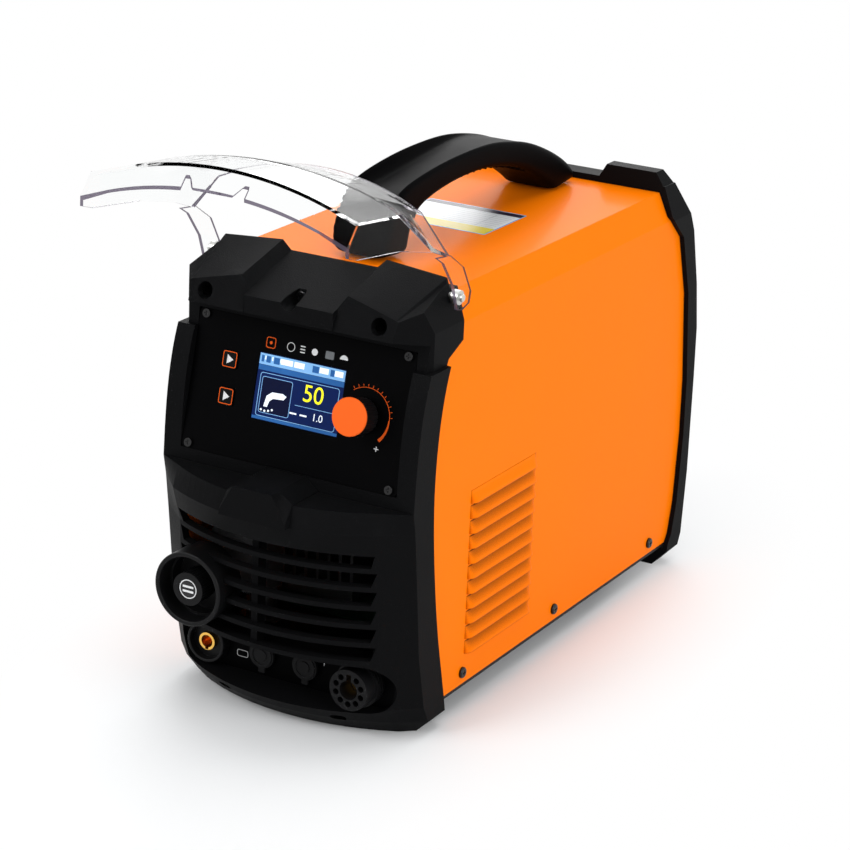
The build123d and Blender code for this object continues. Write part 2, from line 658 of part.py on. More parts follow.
with BuildPart() as cover:
    with BuildSketch(facing_front(260)):
        with BuildLine():
            Polyline(*shell_outline(0, COVER_LOW), close=True)
        make_face()
        with BuildLine():
            Polyline(*shell_outline(-SHEET, COVER_LOW - 1), close=True)
        make_face(mode=Mode.SUBTRACT)
    extrude(amount=430)
    extrude(face_of(Plane.YZ, COVER_SIDE), amount=120, both=True, mode=Mode.INTERSECT)
    # louvres: a slot with a pressed hood over it, open downwards
    with BuildSketch(Plane.YZ.offset(-100)):
        for row in range(LOUVRES):
            with Locations((sum(LOUVRE_Y) / 2, LOUVRE_TOP - 4.2 - row * LOUVRE_PITCH)):
                SlotOverall(LOUVRE_Y[1] - LOUVRE_Y[0] - 6, 4.4)
    extrude(amount=200, mode=Mode.SUBTRACT)
    with BuildSketch(Plane.YZ.offset(-100)):
        with Locations(*COVER_SCREWS):
            Circle(2.2)
    extrude(amount=200, mode=Mode.SUBTRACT)
save(cover.part, "cover")

with BuildPart() as louvre_hoods:
    with BuildSketch(facing_front(LOUVRE_Y[1])):
        for row in range(LOUVRES):
            top = LOUVRE_TOP - row * LOUVRE_PITCH
            with BuildLine():
                Polyline((95, top), (98.6, top - 6.4), (98.6, top - 7.4), (97.8, top - 7.4), (95, top - 1.8),
                         close=True)
            make_face()
    extrude(amount=LOUVRE_Y[1] - LOUVRE_Y[0])
    mirror(about=Plane.YZ)
save(louvre_hoods.part, "louvre_hoods")

with BuildPart() as cover_screws:
    with BuildSketch(Plane.YZ.offset(COVER_HALF)):
        with Locations(*COVER_SCREWS):
            Circle(4)
    extrude(amount=2.2)
    fillet(cover_screws.edges().filter_by(GeomType.CIRCLE).group_by(Axis.X)[-1], 1.2)
    with BuildSketch(Plane.YZ.offset(COVER_HALF + 1)):
        with Locations(*COVER_SCREWS):
            Rectangle(4.4, 0.9)
            Rectangle(0.9, 4.4)
    extrude(amount=2, mode=Mode.SUBTRACT)
    with BuildSketch(Plane.YZ.offset(COVER_HALF)):
        with Locations(*COVER_SCREWS):
            Circle(1.9)
    extrude(amount=-8)
    mirror(about=Plane.YZ)
save(cover_screws.part, "cover_screws")

# ---------------------------------------------------------------- carrying handle
with BuildPart() as handle:
    with BuildSketch(Plane.YZ):
        with BuildLine():
            Polyline((-102, 307), (-93, 343), (-84, 354.5), (-66, 359))
            top = Spline((-66, 359), (-11, 365), (35, 365), (67, 362), (118, 350), (153, 336), (182, 320))
            Polyline((182, 320), (191, 312), (193, 307), (150, 307))
            arch = Spline((150, 307), (120, 326), (70, 342), (10, 346), (-38, 341), (-62, 327))
            Polyline((-62, 327), (-66, 307), (-102, 307))
        make_face()
    extrude(amount=22, both=True)
save(handle.part, "handle")

with BuildPart() as handle_screws:
    with BuildSketch(Plane.XY.offset(COVER_TOP - SHEET)):
        with Locations((-13, -84), (13, -84), (-13, 168), (13, 168)):
            Circle(4)
    extrude(amount=-3)
save(handle_screws.part, "handle_screws")

# ---------------------------------------------------------------- rear bezel and rear panel
REAR_SIDE = [(222, 0), (226, 18), (231, 25), (237, 50), (241, 106), (240, 150), (236, 184), (231.5, 222),
             (216, 270), (198, 286), (195, 290), (195, 330), (203, 330), (216, 306), (234, 272), (246, 227),
             (252, 190), (253, 150), (253, 72), (249, 21), (239, 0)]
REAR_HOLLOW = [(185, 14), (247, 14), (248.5, 72), (248.5, 150), (247, 190), (241.5, 225), (230, 268),
               (212, 303), (212, 308), (185, 308)]
REAR_OPENING = (164.0, 218.0, 139.0)     # width, height and centre height of the rear opening
PANEL_BACK = REAR_SHEET + 1.5
REAR_SCREWS = [(x, z) for x in (-86.5, 86.5) for z in (40.0, 140.0, 238.0)]

with BuildPart() as rear_hollow:
    with BuildSketch(facing_front(260)):
        with BuildLine():
            Polyline(*shell_outline(0.3, 14), close=True)
        make_face()
    extrude(amount=80)
    extrude(face_of(Plane.YZ, REAR_HOLLOW), amount=120, both=True, mode=Mode.INTERSECT)

with BuildPart() as rear_bezel:
    with BuildSketch(facing_front(260)):
        with BuildLine():
            Polyline((-88, 0), (-99, 12), (-99, 287), (-90, 312), (90, 312), (99, 287), (99, 12), (88, 0),
                     close=True)
        make_face()
        for side in (-1, 1):
            with BuildLine():
                Polyline((34 * side, 310), (41 * side, 322), (82 * side, 322), (90 * side, 310), close=True)
            make_face()
    extrude(amount=70)
    extrude(face_of(Plane.YZ, REAR_SIDE), amount=120, both=True, mode=Mode.INTERSECT)
    add(rear_hollow.part, mode=Mode.SUBTRACT)
    # rim that the rear panel is screwed to
    with BuildSketch(facing_front(249)):
        with Locations((0, REAR_OPENING[2])):
            RectangleRounded(186, 234, 6)
    extrude(amount=15.5)
    with BuildSketch(facing_front(270)):
        with Locations((0, REAR_OPENING[2])):
            RectangleRounded(REAR_OPENING[0], REAR_OPENING[1], 6)
    extrude(amount=60, mode=Mode.SUBTRACT)
    turned(PANEL_BACK + 7.5, REAR_SCREWS, [(1.9, 7.5)], mode=Mode.SUBTRACT)
save(rear_bezel.part, "rear_bezel")

SWITCH_AT, GLAND_AT, INLET_AT, STUD_AT = (64.0, 205.0), (62.0, 60.0), (62.0, 112.0), (6.0, 52.0)
FAN_HOLES = [(FAN_AT[0] + dx, FAN_AT[1] + dz) for dx in (-52.5, 52.5) for dz in (-52.5, 52.5)]

with BuildPart() as rear_panel:
    with BuildSketch(facing_front(PANEL_BACK)):
        with Locations((0, 136)):
            Rectangle(184, 232)
        with Locations(FAN_AT):
            Circle(56, mode=Mode.SUBTRACT)
        with Locations(*FAN_HOLES):
            Circle(2.2, mode=Mode.SUBTRACT)
        with Locations(SWITCH_AT):
            Rectangle(22, 29, mode=Mode.SUBTRACT)
        with Locations(GLAND_AT, INLET_AT):
            Circle(8.2, mode=Mode.SUBTRACT)
        with Locations(STUD_AT):
            Circle(3.2, mode=Mode.SUBTRACT)
        with Locations(*REAR_SCREWS):
            Circle(2.2, mode=Mode.SUBTRACT)
    extrude(amount=1.5)
save(rear_panel.part, "rear_panel")

with BuildPart() as rear_panel_screws:
    with BuildSketch(facing_front(REAR_SHEET)):
        with Locations(*REAR_SCREWS):
            Circle(3.6)
            RegularPolygon(1.8, 6, mode=Mode.SUBTRACT)
    extrude(amount=2.4)
    turned(PANEL_BACK + 7, REAR_SCREWS, [(1.85, 10)])
save(rear_panel_screws.part, "rear_panel_screws")

# ---------------------------------------------------------------- cooling fan
FAN_FRONT = REAR_SHEET - FAN_DEPTH
with BuildPart() as fan_frame:
    with BuildSketch(facing_front(REAR_SHEET)):
        with Locations(FAN_AT):
            RectangleRounded(FAN_SIZE, FAN_SIZE, 7)
            Circle(57.5, mode=Mode.SUBTRACT)
        with Locations(*FAN_HOLES):
            Circle(2.2, mode=Mode.SUBTRACT)
    extrude(amount=FAN_DEPTH)
    with BuildSketch(facing_front(REAR_SHEET)):
        with Locations(FAN_AT):
            Circle(19)
            with PolarLocations(38, 4, start_angle=45):
                Rectangle(42, 5)
    extrude(amount=4)
    with BuildSketch(facing_front(REAR_SHEET)):
        with Locations(FAN_AT):
            Circle(1.5)
    extrude(amount=20)
save(fan_frame.part, "fan_frame")

with BuildPart() as fan_rotor:
    with BuildSketch(facing_front(REAR_SHEET - 5)):
        with Locations(FAN_AT):
            Circle(20)
    extrude(amount=17)
    with BuildSketch(facing_front(REAR_SHEET - 6)):
        with Locations(FAN_AT):
            with PolarLocations(37.5, 7):
                Rectangle(37, 3, rotation=0)
    extrude(amount=15)
    with BuildSketch(facing_front(REAR_SHEET)):
        with Locations(FAN_AT):
            Circle(1.55)
    extrude(amount=20.5, mode=Mode.SUBTRACT)
save(fan_rotor.part, "fan_rotor")

GUARD_Y = PANEL_BACK + 1.35
with BuildPart() as fan_guard:
    with BuildSketch(facing_front(GUARD_Y + 1.1)):
        for radius in (10, 20, 30, 40, 50, 58):
            with Locations(FAN_AT):
                Circle(radius + 1.1)
                Circle(radius - 1.1, mode=Mode.SUBTRACT)
        with Locations(FAN_AT):
            with PolarLocations(41, 4, start_angle=45):
                Rectangle(64, 2.2)
        with Locations(*FAN_HOLES):
            Circle(4.5)
        with Locations(*FAN_HOLES):
            Circle(2.2, mode=Mode.SUBTRACT)
    extrude(amount=2.2)
save(fan_guard.part, "fan_guard")

# ---------------------------------------------------------------- rear fittings
ROCKER_TILT = 9.0
ROCKER_PIVOT = (PANEL_BACK - 3.0, SWITCH_AT[1])
with BuildPart() as power_switch_body:
    with BuildSketch(facing_front(PANEL_BACK + 2)):
        with Locations(SWITCH_AT):
            RectangleRounded(26, 33, 2)
    extrude(amount=2)
    with BuildSketch(facing_front(PANEL_BACK)):
        with Locations(SWITCH_AT):
            Rectangle(21.6, 28.6)
    extrude(amount=26)
    with BuildSketch(facing_front(PANEL_BACK + 2)):
        with Locations(SWITCH_AT):
            Rectangle(17.4, 24.6)
    extrude(amount=16, mode=Mode.SUBTRACT)
    with BuildSketch(Plane.YZ.offset(SWITCH_AT[0] - 9)):
        with Locations(ROCKER_PIVOT):
            Circle(1.15)
    extrude(amount=18)
save(power_switch_body.part, "power_switch_body")

ROCKER_PLANE = Plane(origin=(SWITCH_AT[0], *ROCKER_PIVOT), x_dir=(1, 0, 0),
                     z_dir=(0, cos(radians(ROCKER_TILT)), sin(radians(ROCKER_TILT))))
with BuildPart() as power_switch_rocker:
    with BuildSketch(ROCKER_PLANE.offset(-6)):
        Rectangle(16.6, 22)
    extrude(amount=13)
    with BuildSketch(Plane.YZ.offset(SWITCH_AT[0] - 10)):
        with Locations(ROCKER_PIVOT):
            Circle(1.2)
    extrude(amount=20, mode=Mode.SUBTRACT)
save(power_switch_rocker.part, "power_switch_rocker")

with BuildPart() as cable_gland:
    with BuildSketch(facing_front(REAR_SHEET)):
        with Locations(GLAND_AT):
            RegularPolygon(12.5, 6)
    extrude(amount=5)
    with BuildSketch(facing_front(PANEL_BACK)):
        with Locations(GLAND_AT):
            Circle(8)
    extrude(amount=8)
    with BuildSketch(facing_front(PANEL_BACK + 6)):
        with Locations(GLAND_AT):
            RegularPolygon(14, 6)
    extrude(amount=6)
    with BuildSketch(facing_front(PANEL_BACK + 24)):
        with Locations(GLAND_AT):
            Circle(11.5)
    extrude(amount=18)
    fillet(cable_gland.edges().filter_by(GeomType.CIRCLE).group_by(Axis.Y)[-1], 4)
    with BuildSketch(facing_front(PANEL_BACK + 30)):
        with Locations(GLAND_AT):
            Circle(6)
    extrude(amount=50, mode=Mode.SUBTRACT)
save(cable_gland.part, "cable_gland")

with BuildPart() as air_inlet:
    with BuildSketch(facing_front(REAR_SHEET)):
        with Locations(INLET_AT):
            RegularPolygon(11.5, 6)
    extrude(amount=5)
    with BuildSketch(facing_front(PANEL_BACK)):
        with Locations(INLET_AT):
            Circle(8)
    extrude(amount=6.5)
    with BuildSketch(facing_front(PANEL_BACK + 7)):
        with Locations(INLET_AT):
            RegularPolygon(11.5, 6)
    extrude(amount=7)
    with BuildSketch(facing_front(INLET_END)):
        with Locations(INLET_AT):
            Circle(4.2)
    extrude(amount=INLET_END - PANEL_BACK)
    for barb in range(4):
        with BuildSketch(facing_front(INLET_END - 1.5 - 5.5 * barb)):
            with Locations(INLET_AT):
                Circle(5.2)
        extrude(amount=2.2, taper=12)
    with BuildSketch(facing_front(INLET_END)):
        with Locations(INLET_AT):
            Circle(3)
    extrude(amount=34, mode=Mode.SUBTRACT)
save(air_inlet.part, "air_inlet")

with BuildPart() as ground_stud:
    with BuildSketch(facing_front(PANEL_BACK + 16)):
        with Locations(STUD_AT):
            Circle(3)
    extrude(amount=24)
    with BuildSketch(facing_front(PANEL_BACK + 6)):
        with Locations(STUD_AT):
            RegularPolygon(5.8, 6)
    extrude(amount=5)
    with BuildSketch(facing_front(PANEL_BACK + 1)):
        with Locations(STUD_AT):
            Circle(7)
    extrude(amount=1)
save(ground_stud.part, "ground_stud")

# ---------------------------------------------------------------- chassis and what it carries
TRAY_Z, BOARD_Z = 15.0, 40.0
BOARD_POSTS = [(x, y) for x in (-72, 72) for y in (-82, 192)]
with BuildPart() as chassis_tray:
    with BuildSketch(Plane.XY.offset(TRAY_Z)):
        with Locations((0, 45)):
            Rectangle(187.6, 360)
    extrude(amount=1.5)
    with BuildSketch(Plane.XY.offset(TRAY_Z)):
        with Locations((-93.2, 45), (93.2, 45)):
            Rectangle(1.2, 360)
    extrude(amount=21)
    with BuildSketch(Plane.XY.offset(TRAY_Z)):
        with Locations(*BOARD_POSTS):
            Circle(4)
    extrude(amount=BOARD_Z - TRAY_Z)
    with BuildSketch(Plane.YZ.offset(-100)):
        with Locations(*COVER_SCREWS):
            Circle(2.2)
    extrude(amount=200, mode=Mode.SUBTRACT)
save(chassis_tray.part, "chassis_tray")

with BuildPart() as main_board:
    with BuildSketch(Plane.XY.offset(BOARD_Z)):
        with Locations((0, 55)):
            Rectangle(156, 290)
    extrude(amount=1.6)
save(main_board.part, "main_board")

BOARD_TOP = BOARD_Z + 1.6
with BuildPart() as heat_sinks:
    with BuildSketch(facing_front(60)):
        for middle in (-42, 42):
            with Locations((middle, BOARD_TOP + 5)):
                Rectangle(60, 10)
            with Locations((middle, BOARD_TOP + 32)):
                with GridLocations(9.6, 1, 7, 1):
                    Rectangle(2.4, 50)
    extrude(amount=130)
save(heat_sinks.part, "heat_sinks")

with BuildPart() as transformer_core:
    with BuildSketch(facing_front(132)):
        with Locations((-42, BOARD_TOP + 30)):
            Rectangle(64, 60)
            Rectangle(40, 38, mode=Mode.SUBTRACT)
        with Locations((-42, BOARD_TOP + 30)):
            Rectangle(16, 40)
    extrude(amount=40)
save(transformer_core.part, "transformer_core")

with BuildPart() as transformer_winding:
    with BuildSketch(Plane.XY.offset(BOARD_TOP + 13)):
        with Locations((-42, 112)):
            RectangleRounded(39, 56, 6)
            Rectangle(16.4, 40.4, mode=Mode.SUBTRACT)
    extrude(amount=34)
save(transformer_winding.part, "transformer_winding")

with BuildPart() as capacitors:
    with BuildSketch(Plane.XY.offset(BOARD_TOP)):
        with Locations((34, 104)):
            with GridLocations(36, 40, 2, 2):
                Circle(15)
    extrude(amount=52)
    fillet(capacitors.edges().filter_by(GeomType.CIRCLE).group_by(Axis.Z)[-1], 2)
save(capacitors.part, "capacitors")

with BuildPart() as output_choke:
    with BuildSketch(Plane.XY.offset(BOARD_TOP)):
        with Locations((-36, 168)):
            Circle(28)
            Circle(11, mode=Mode.SUBTRACT)
    extrude(amount=22)
    fillet(output_choke.edges().filter_by(GeomType.CIRCLE), 5)
save(output_choke.part, "output_choke")

with BuildPart() as solenoid_valve:
    with BuildSketch(Plane.XY.offset(TRAY_Z + 1.5)):
        with Locations((-62, -112)):
            Rectangle(32, 28)
    extrude(amount=20)
    with BuildSketch(Plane.XY.offset(TRAY_Z + 21.5)):
        with Locations((-62, -112)):
            Circle(11)
    extrude(amount=28)
save(solenoid_valve.part, "solenoid_valve")

HOSE_ROUTE = [(INLET_AT[0], REAR_SHEET - 5, INLET_AT[1]), (INLET_AT[0], 190, INLET_AT[1]),
              (INLET_AT[0], 140, 150), (INLET_AT[0], -30, 150), (0, -70, 120), (CUP_X, -84, CUP_Z),
              (CUP_X, -128, CUP_Z)]
with BuildPart() as air_hose:
    with BuildLine() as route:
        FilletPolyline(*HOSE_ROUTE, radius=[18, 24, 30, 20, 14])
    with BuildSketch(Plane(origin=route.line @ 0, z_dir=route.line % 0)):
        Circle(4)
    sweep(path=route.line)
save(air_hose.part, "air_hose")
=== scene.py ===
"""Looks of a portable air plasma cutter power source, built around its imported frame.

Lengths are in metres unless a name ends in MM.  +Z is up, the front faces -Y.
"""

import json
import logging
from dataclasses import dataclass, field, replace
from enum import Enum
from math import cos, pi, radians, sin
from typing import Callable, Iterable, Sequence

import bmesh
import bpy
from mathutils import Matrix, Vector

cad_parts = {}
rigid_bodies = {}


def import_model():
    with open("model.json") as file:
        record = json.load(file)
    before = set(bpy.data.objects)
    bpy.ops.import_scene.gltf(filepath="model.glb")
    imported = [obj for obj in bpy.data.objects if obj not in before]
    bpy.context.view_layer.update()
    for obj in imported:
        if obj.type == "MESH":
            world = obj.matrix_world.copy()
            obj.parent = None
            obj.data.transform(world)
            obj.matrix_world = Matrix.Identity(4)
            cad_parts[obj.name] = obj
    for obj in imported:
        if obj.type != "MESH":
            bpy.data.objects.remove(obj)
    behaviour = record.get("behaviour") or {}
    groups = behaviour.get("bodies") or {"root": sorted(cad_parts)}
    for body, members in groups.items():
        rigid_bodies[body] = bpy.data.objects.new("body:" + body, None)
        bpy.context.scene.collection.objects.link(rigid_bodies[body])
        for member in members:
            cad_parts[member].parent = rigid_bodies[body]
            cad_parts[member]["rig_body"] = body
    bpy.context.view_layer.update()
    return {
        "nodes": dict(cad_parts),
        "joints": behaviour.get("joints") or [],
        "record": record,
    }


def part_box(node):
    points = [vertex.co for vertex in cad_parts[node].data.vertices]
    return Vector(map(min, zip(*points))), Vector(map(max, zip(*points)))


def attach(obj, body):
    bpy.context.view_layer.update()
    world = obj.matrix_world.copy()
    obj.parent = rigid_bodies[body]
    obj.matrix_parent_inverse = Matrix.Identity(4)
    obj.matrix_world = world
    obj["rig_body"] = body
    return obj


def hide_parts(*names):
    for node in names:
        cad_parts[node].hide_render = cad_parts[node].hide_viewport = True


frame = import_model()
LOG = logging.getLogger("plasma_cutter")

MM = 0.001
MERGE_DISTANCE = 0.004 * MM
FLAT_ANGLE = radians(0.6)
RIGHT, BACK, UP = Vector((1, 0, 0)), Vector((0, 1, 0)), Vector((0, 0, 1))
Point = tuple[float, float]
Color = tuple[float, float, float]


# ---------------------------------------------------------------- shader groups
class Texture(Enum):
    """The relief that a finish carries."""

    MOULDED = "moulded_grain"
    POWDER_COAT = "powder_coat"
    BRUSHED = "brushed_lines"
    SMOOTH = "smooth"


def new_group(name: str, inputs: dict[str, tuple[str, object]],
              outputs: dict[str, str]) -> bpy.types.NodeTree:
    """Start a shader node group with named sockets.

    Args:
        name: the group's name.
        inputs: socket name to (socket type, default value).
        outputs: socket name to socket type.

    Returns:
        The group's tree, with its input and output nodes in place.
    """
    tree = bpy.data.node_groups.new(name, "ShaderNodeTree")
    for label, (kind, default) in inputs.items():
        socket = tree.interface.new_socket(name=label, in_out="INPUT", socket_type=kind)
        socket.default_value = default
    for label, kind in outputs.items():
        tree.interface.new_socket(name=label, in_out="OUTPUT", socket_type=kind)
    tree.nodes.new("NodeGroupInput").name = "in"
    tree.nodes.new("NodeGroupOutput").name = "out"
    return tree


def combine(tree: bpy.types.NodeTree, operation: str, first: bpy.types.NodeSocket,
            second: bpy.types.NodeSocket | float) -> bpy.types.NodeSocket:
    """Put a Math node on a socket and a second socket or number.

    Args:
        tree: the tree that the node goes into.
        operation: the Math node's operation.
        first: its first value.
        second: its second value.

    Returns:
        The result's socket.
    """
    node = tree.nodes.new("ShaderNodeMath")
    node.operation = operation
    tree.links.new(first, node.inputs[0])
    if isinstance(second, bpy.types.NodeSocket):
        tree.links.new(second, node.inputs[1])
    else:
        node.inputs[1].default_value = second
    return node.outputs[0]


def object_noise(tree: bpy.types.NodeTree, scale: bpy.types.NodeSocket, detail: float,
                 stretch: tuple[float, float, float] = (1.0, 1.0, 1.0)) -> bpy.types.NodeSocket:
    """Noise on object coordinates.

    Args:
        tree: the tree that the nodes go into.
        scale: the socket that gives the noise's scale.
        detail: octaves of noise.
        stretch: scale of the coordinates along each axis.

    Returns:
        The noise's value socket.
    """
    place = tree.nodes.new("ShaderNodeTexCoord")
    mapping = tree.nodes.new("ShaderNodeMapping")
    mapping.inputs["Scale"].default_value = stretch
    noise = tree.nodes.new("ShaderNodeTexNoise")
    noise.inputs["Detail"].default_value = detail
    tree.links.new(place.outputs["Object"], mapping.inputs["Vector"])
    tree.links.new(mapping.outputs["Vector"], noise.inputs["Vector"])
    tree.links.new(scale, noise.inputs["Scale"])
    return noise.outputs["Fac"]


def relief_group(texture: Texture) -> bpy.types.NodeTree:
    """Group whose height output is the relief of one kind of surface.

    Args:
        texture: which relief it makes.

    Returns:
        The node group.
    """
    tree = new_group(texture.value, {"Scale": ("NodeSocketFloat", 1500.0)}, {"Height": "NodeSocketFloat"})
    source, sink = tree.nodes["in"], tree.nodes["out"]
    if texture is Texture.BRUSHED:
        height = object_noise(tree, source.outputs["Scale"], 3.0, stretch=(0.03, 1.0, 1.0))
    elif texture is Texture.POWDER_COAT:
        height = object_noise(tree, source.outputs["Scale"], 1.0)
    else:
        cells = tree.nodes.new("ShaderNodeTexVoronoi")
        place = tree.nodes.new("ShaderNodeTexCoord")
        tree.links.new(place.outputs["Object"], cells.inputs["Vector"])
        tree.links.new(source.outputs["Scale"], cells.inputs["Scale"])
        fine = object_noise(tree, source.outputs["Scale"], 2.0)
        height = combine(tree, "ADD", cells.outputs["Distance"], fine)
    tree.links.new(height, sink.inputs["Height"])
    return tree


def handling_group() -> bpy.types.NodeTree:
    """Group that varies a colour and a roughness in broad soft patches, as handling does.

    Returns:
        The node group.
    """
    tree = new_group("handling_marks",
                     {"Color": ("NodeSocketColor", (0.5, 0.5, 0.5, 1.0)),
                      "Roughness": ("NodeSocketFloat", 0.5), "Amount": ("NodeSocketFloat", 0.1),
                      "Scale": ("NodeSocketFloat", 18.0)},
                     {"Color": "NodeSocketColor", "Roughness": "NodeSocketFloat"})
    source, sink = tree.nodes["in"], tree.nodes["out"]
    patches = object_noise(tree, source.outputs["Scale"], 5.0)
    amount = combine(tree, "MULTIPLY", combine(tree, "SUBTRACT", patches, 0.5), source.outputs["Amount"])
    rough = combine(tree, "ADD", source.outputs["Roughness"], amount)
    rough.node.use_clamp = True
    tone = tree.nodes.new("ShaderNodeHueSaturation")
    tree.links.new(source.outputs["Color"], tone.inputs["Color"])
    tree.links.new(combine(tree, "ADD", amount, 1.0), tone.inputs["Value"])
    tree.links.new(tone.outputs["Color"], sink.inputs["Color"])
    tree.links.new(rough, sink.inputs["Roughness"])
    return tree


def soft_edge_group() -> bpy.types.NodeTree:
    """Group that gives a normal rounded over sharp edges.

    Returns:
        The node group.
    """
    tree = new_group("soft_edges", {"Radius": ("NodeSocketFloat", 0.5 * MM)}, {"Normal": "NodeSocketVector"})
    bevel = tree.nodes.new("ShaderNodeBevel")
    bevel.samples = 4
    tree.links.new(tree.nodes["in"].outputs["Radius"], bevel.inputs["Radius"])
    tree.links.new(bevel.outputs["Normal"], tree.nodes["out"].inputs["Normal"])
    return tree


def recess_group() -> bpy.types.NodeTree:
    """Group that darkens a colour under a piece's own lips and inside its own shell.

    Returns:
        The node group.
    """
    tree = new_group("recess_shade",
                     {"Color": ("NodeSocketColor", (0.5, 0.5, 0.5, 1.0)),
                      "Reach": ("NodeSocketFloat", 250.0 * MM), "Shut": ("NodeSocketFloat", 0.6),
                      "Open": ("NodeSocketFloat", 0.97), "Darkest": ("NodeSocketFloat", 0.12)},
                     {"Color": "NodeSocketColor"})
    source, sink = tree.nodes["in"], tree.nodes["out"]
    open_sky = tree.nodes.new("ShaderNodeAmbientOcclusion")
    open_sky.samples = 8
    open_sky.only_local = True
    level = tree.nodes.new("ShaderNodeMapRange")
    for label, place in (("Shut", "From Min"), ("Open", "From Max"), ("Darkest", "To Min")):
        tree.links.new(source.outputs[label], level.inputs[place])
    dark = tree.nodes.new("ShaderNodeHueSaturation")
    tree.links.new(source.outputs["Reach"], open_sky.inputs["Distance"])
    tree.links.new(open_sky.outputs["AO"], level.inputs["Value"])
    tree.links.new(source.outputs["Color"], dark.inputs["Color"])
    tree.links.new(level.outputs["Result"], dark.inputs["Value"])
    tree.links.new(dark.outputs["Color"], sink.inputs["Color"])
    return tree


@dataclass
class Shelf:
    """The shader groups and materials made here, each built the first time that it is asked for."""

    made: dict[str, bpy.types.ID] = field(default_factory=dict)

    def get(self, name: str, build: Callable[[], bpy.types.ID]) -> bpy.types.ID:
        """The named group or material, built once."""
        if name not in self.made:
            self.made[name] = build()
        return self.made[name]


GROUPS = Shelf()
MATERIALS = Shelf()


# ---------------------------------------------------------------- finishes
@dataclass(frozen=True)
class Finish:
    """One surface finish, from its colour to its relief."""

    name: str
    color: Color
    roughness: float
    texture: Texture = Texture.MOULDED
    scale: float = 1500.0
    depth: float = 0.03 * MM
    variation: float = 0.12
    edge: float = 0.35 * MM
    metallic: float = 0.0
    specular: float = 0.5
    coat: float = 0.0
    coat_roughness: float = 0.1
    transmission: float = 0.0
    ior: float = 1.5
    glow: float = 0.0
    recess: float = 0.0

    def material(self) -> bpy.types.Material:
        """The finish as a material, built once."""
        return MATERIALS.get(self.name, self.build)

    def build(self) -> bpy.types.Material:
        """A new material with this finish's nodes."""
        material = bpy.data.materials.new(f"finish_{self.name}")
        material.use_nodes = True
        nodes, links = material.node_tree.nodes, material.node_tree.links
        shader = nodes["Principled BSDF"]
        shader.inputs["Metallic"].default_value = self.metallic
        shader.inputs["Specular IOR Level"].default_value = self.specular
        shader.inputs["Coat Weight"].default_value = self.coat
        shader.inputs["Coat Roughness"].default_value = self.coat_roughness
        shader.inputs["Transmission Weight"].default_value = self.transmission
        shader.inputs["IOR"].default_value = self.ior
        if self.glow > 0.0:
            shader.inputs["Emission Color"].default_value = (*self.color, 1.0)
            shader.inputs["Emission Strength"].default_value = self.glow

        marks = nodes.new("ShaderNodeGroup")
        marks.node_tree = GROUPS.get("handling_marks", handling_group)
        marks.inputs["Color"].default_value = (*self.color, 1.0)
        marks.inputs["Roughness"].default_value = self.roughness
        marks.inputs["Amount"].default_value = self.variation
        color = marks.outputs["Color"]
        if self.recess > 0.0:
            shade = nodes.new("ShaderNodeGroup")
            shade.node_tree = GROUPS.get("recess_shade", recess_group)
            shade.inputs["Reach"].default_value = self.recess
            links.new(color, shade.inputs["Color"])
            color = shade.outputs["Color"]
        links.new(color, shader.inputs["Base Color"])
        links.new(marks.outputs["Roughness"], shader.inputs["Roughness"])

        normal = None
        if self.edge > 0.0:
            edges = nodes.new("ShaderNodeGroup")
            edges.node_tree = GROUPS.get("soft_edges", soft_edge_group)
            edges.inputs["Radius"].default_value = self.edge
            normal = edges.outputs["Normal"]
        if self.texture is not Texture.SMOOTH:
            relief = nodes.new("ShaderNodeGroup")
            relief.node_tree = GROUPS.get(self.texture.value, lambda: relief_group(self.texture))
            relief.inputs["Scale"].default_value = self.scale
            bump = nodes.new("ShaderNodeBump")
            bump.inputs["Distance"].default_value = self.depth
            links.new(relief.outputs["Height"], bump.inputs["Height"])
            if normal is not None:
                links.new(normal, bump.inputs["Normal"])
            normal = bump.outputs["Normal"]
        if normal is not None:
            links.new(normal, shader.inputs["Normal"])
        return material


BEZEL = Finish("bezel_plastic", (0.0045, 0.0046, 0.005), 0.46, scale=1100.0, depth=0.08 * MM, edge=0.0,
               specular=0.022)
BEZEL_CAD = replace(BEZEL, name="bezel_plastic_fine", roughness=0.48, scale=1500.0, depth=0.04 * MM,
                    edge=0.7 * MM)
GRIP = Finish("handle_plastic", (0.0015, 0.0015, 0.0017), 0.4, scale=1100.0, depth=0.05 * MM, edge=0.0,
              specular=0.012)
ORANGE = Finish("orange_powder_coat", (0.98, 0.2, 0.001), 0.42, Texture.POWDER_COAT, scale=620.0,
                depth=0.02 * MM, variation=0.05, edge=1.1 * MM, specular=0.015, coat=0.05,
                coat_roughness=0.12, recess=250.0 * MM)
# dark brown plate behind each louvre lip: the slit, and below the lip a painted shadow
SLIT_AND_SHADOW = Finish("louvre_slit_and_shadow", (0.07, 0.01, 0.001), 0.7, Texture.POWDER_COAT, scale=620.0, edge=0.0,
             specular=0.05)
PANEL = Finish("panel_black", (0.001, 0.001, 0.0012), 0.4, Texture.POWDER_COAT, scale=1600.0,
               depth=0.01 * MM, specular=0.02, edge=0.3 * MM)
PLASTIC = Finish("black_plastic", (0.005, 0.005, 0.0055), 0.36, depth=0.02 * MM, specular=0.12)
KEY = Finish("key_cap", (0.002, 0.002, 0.002), 0.25, Texture.SMOOTH, specular=0.08)
KNOB_ORANGE = Finish("knob_orange", (0.9, 0.125, 0.012), 0.5, depth=0.012 * MM, variation=0.05, specular=0.1)
BADGE = Finish("badge_gloss", (0.012, 0.012, 0.013), 0.25, Texture.SMOOTH, specular=0.3)
SCREEN = Finish("screen_blue", (0.0005, 0.008, 0.06), 0.12, Texture.SMOOTH, edge=0.0, variation=0.5,
                specular=0.1, glow=0.5)
CLEAR = Finish("clear_polycarbonate", (0.985, 0.992, 0.992), 0.02, Texture.SMOOTH, edge=0.0, variation=0.015,
               transmission=1.0, ior=1.08)
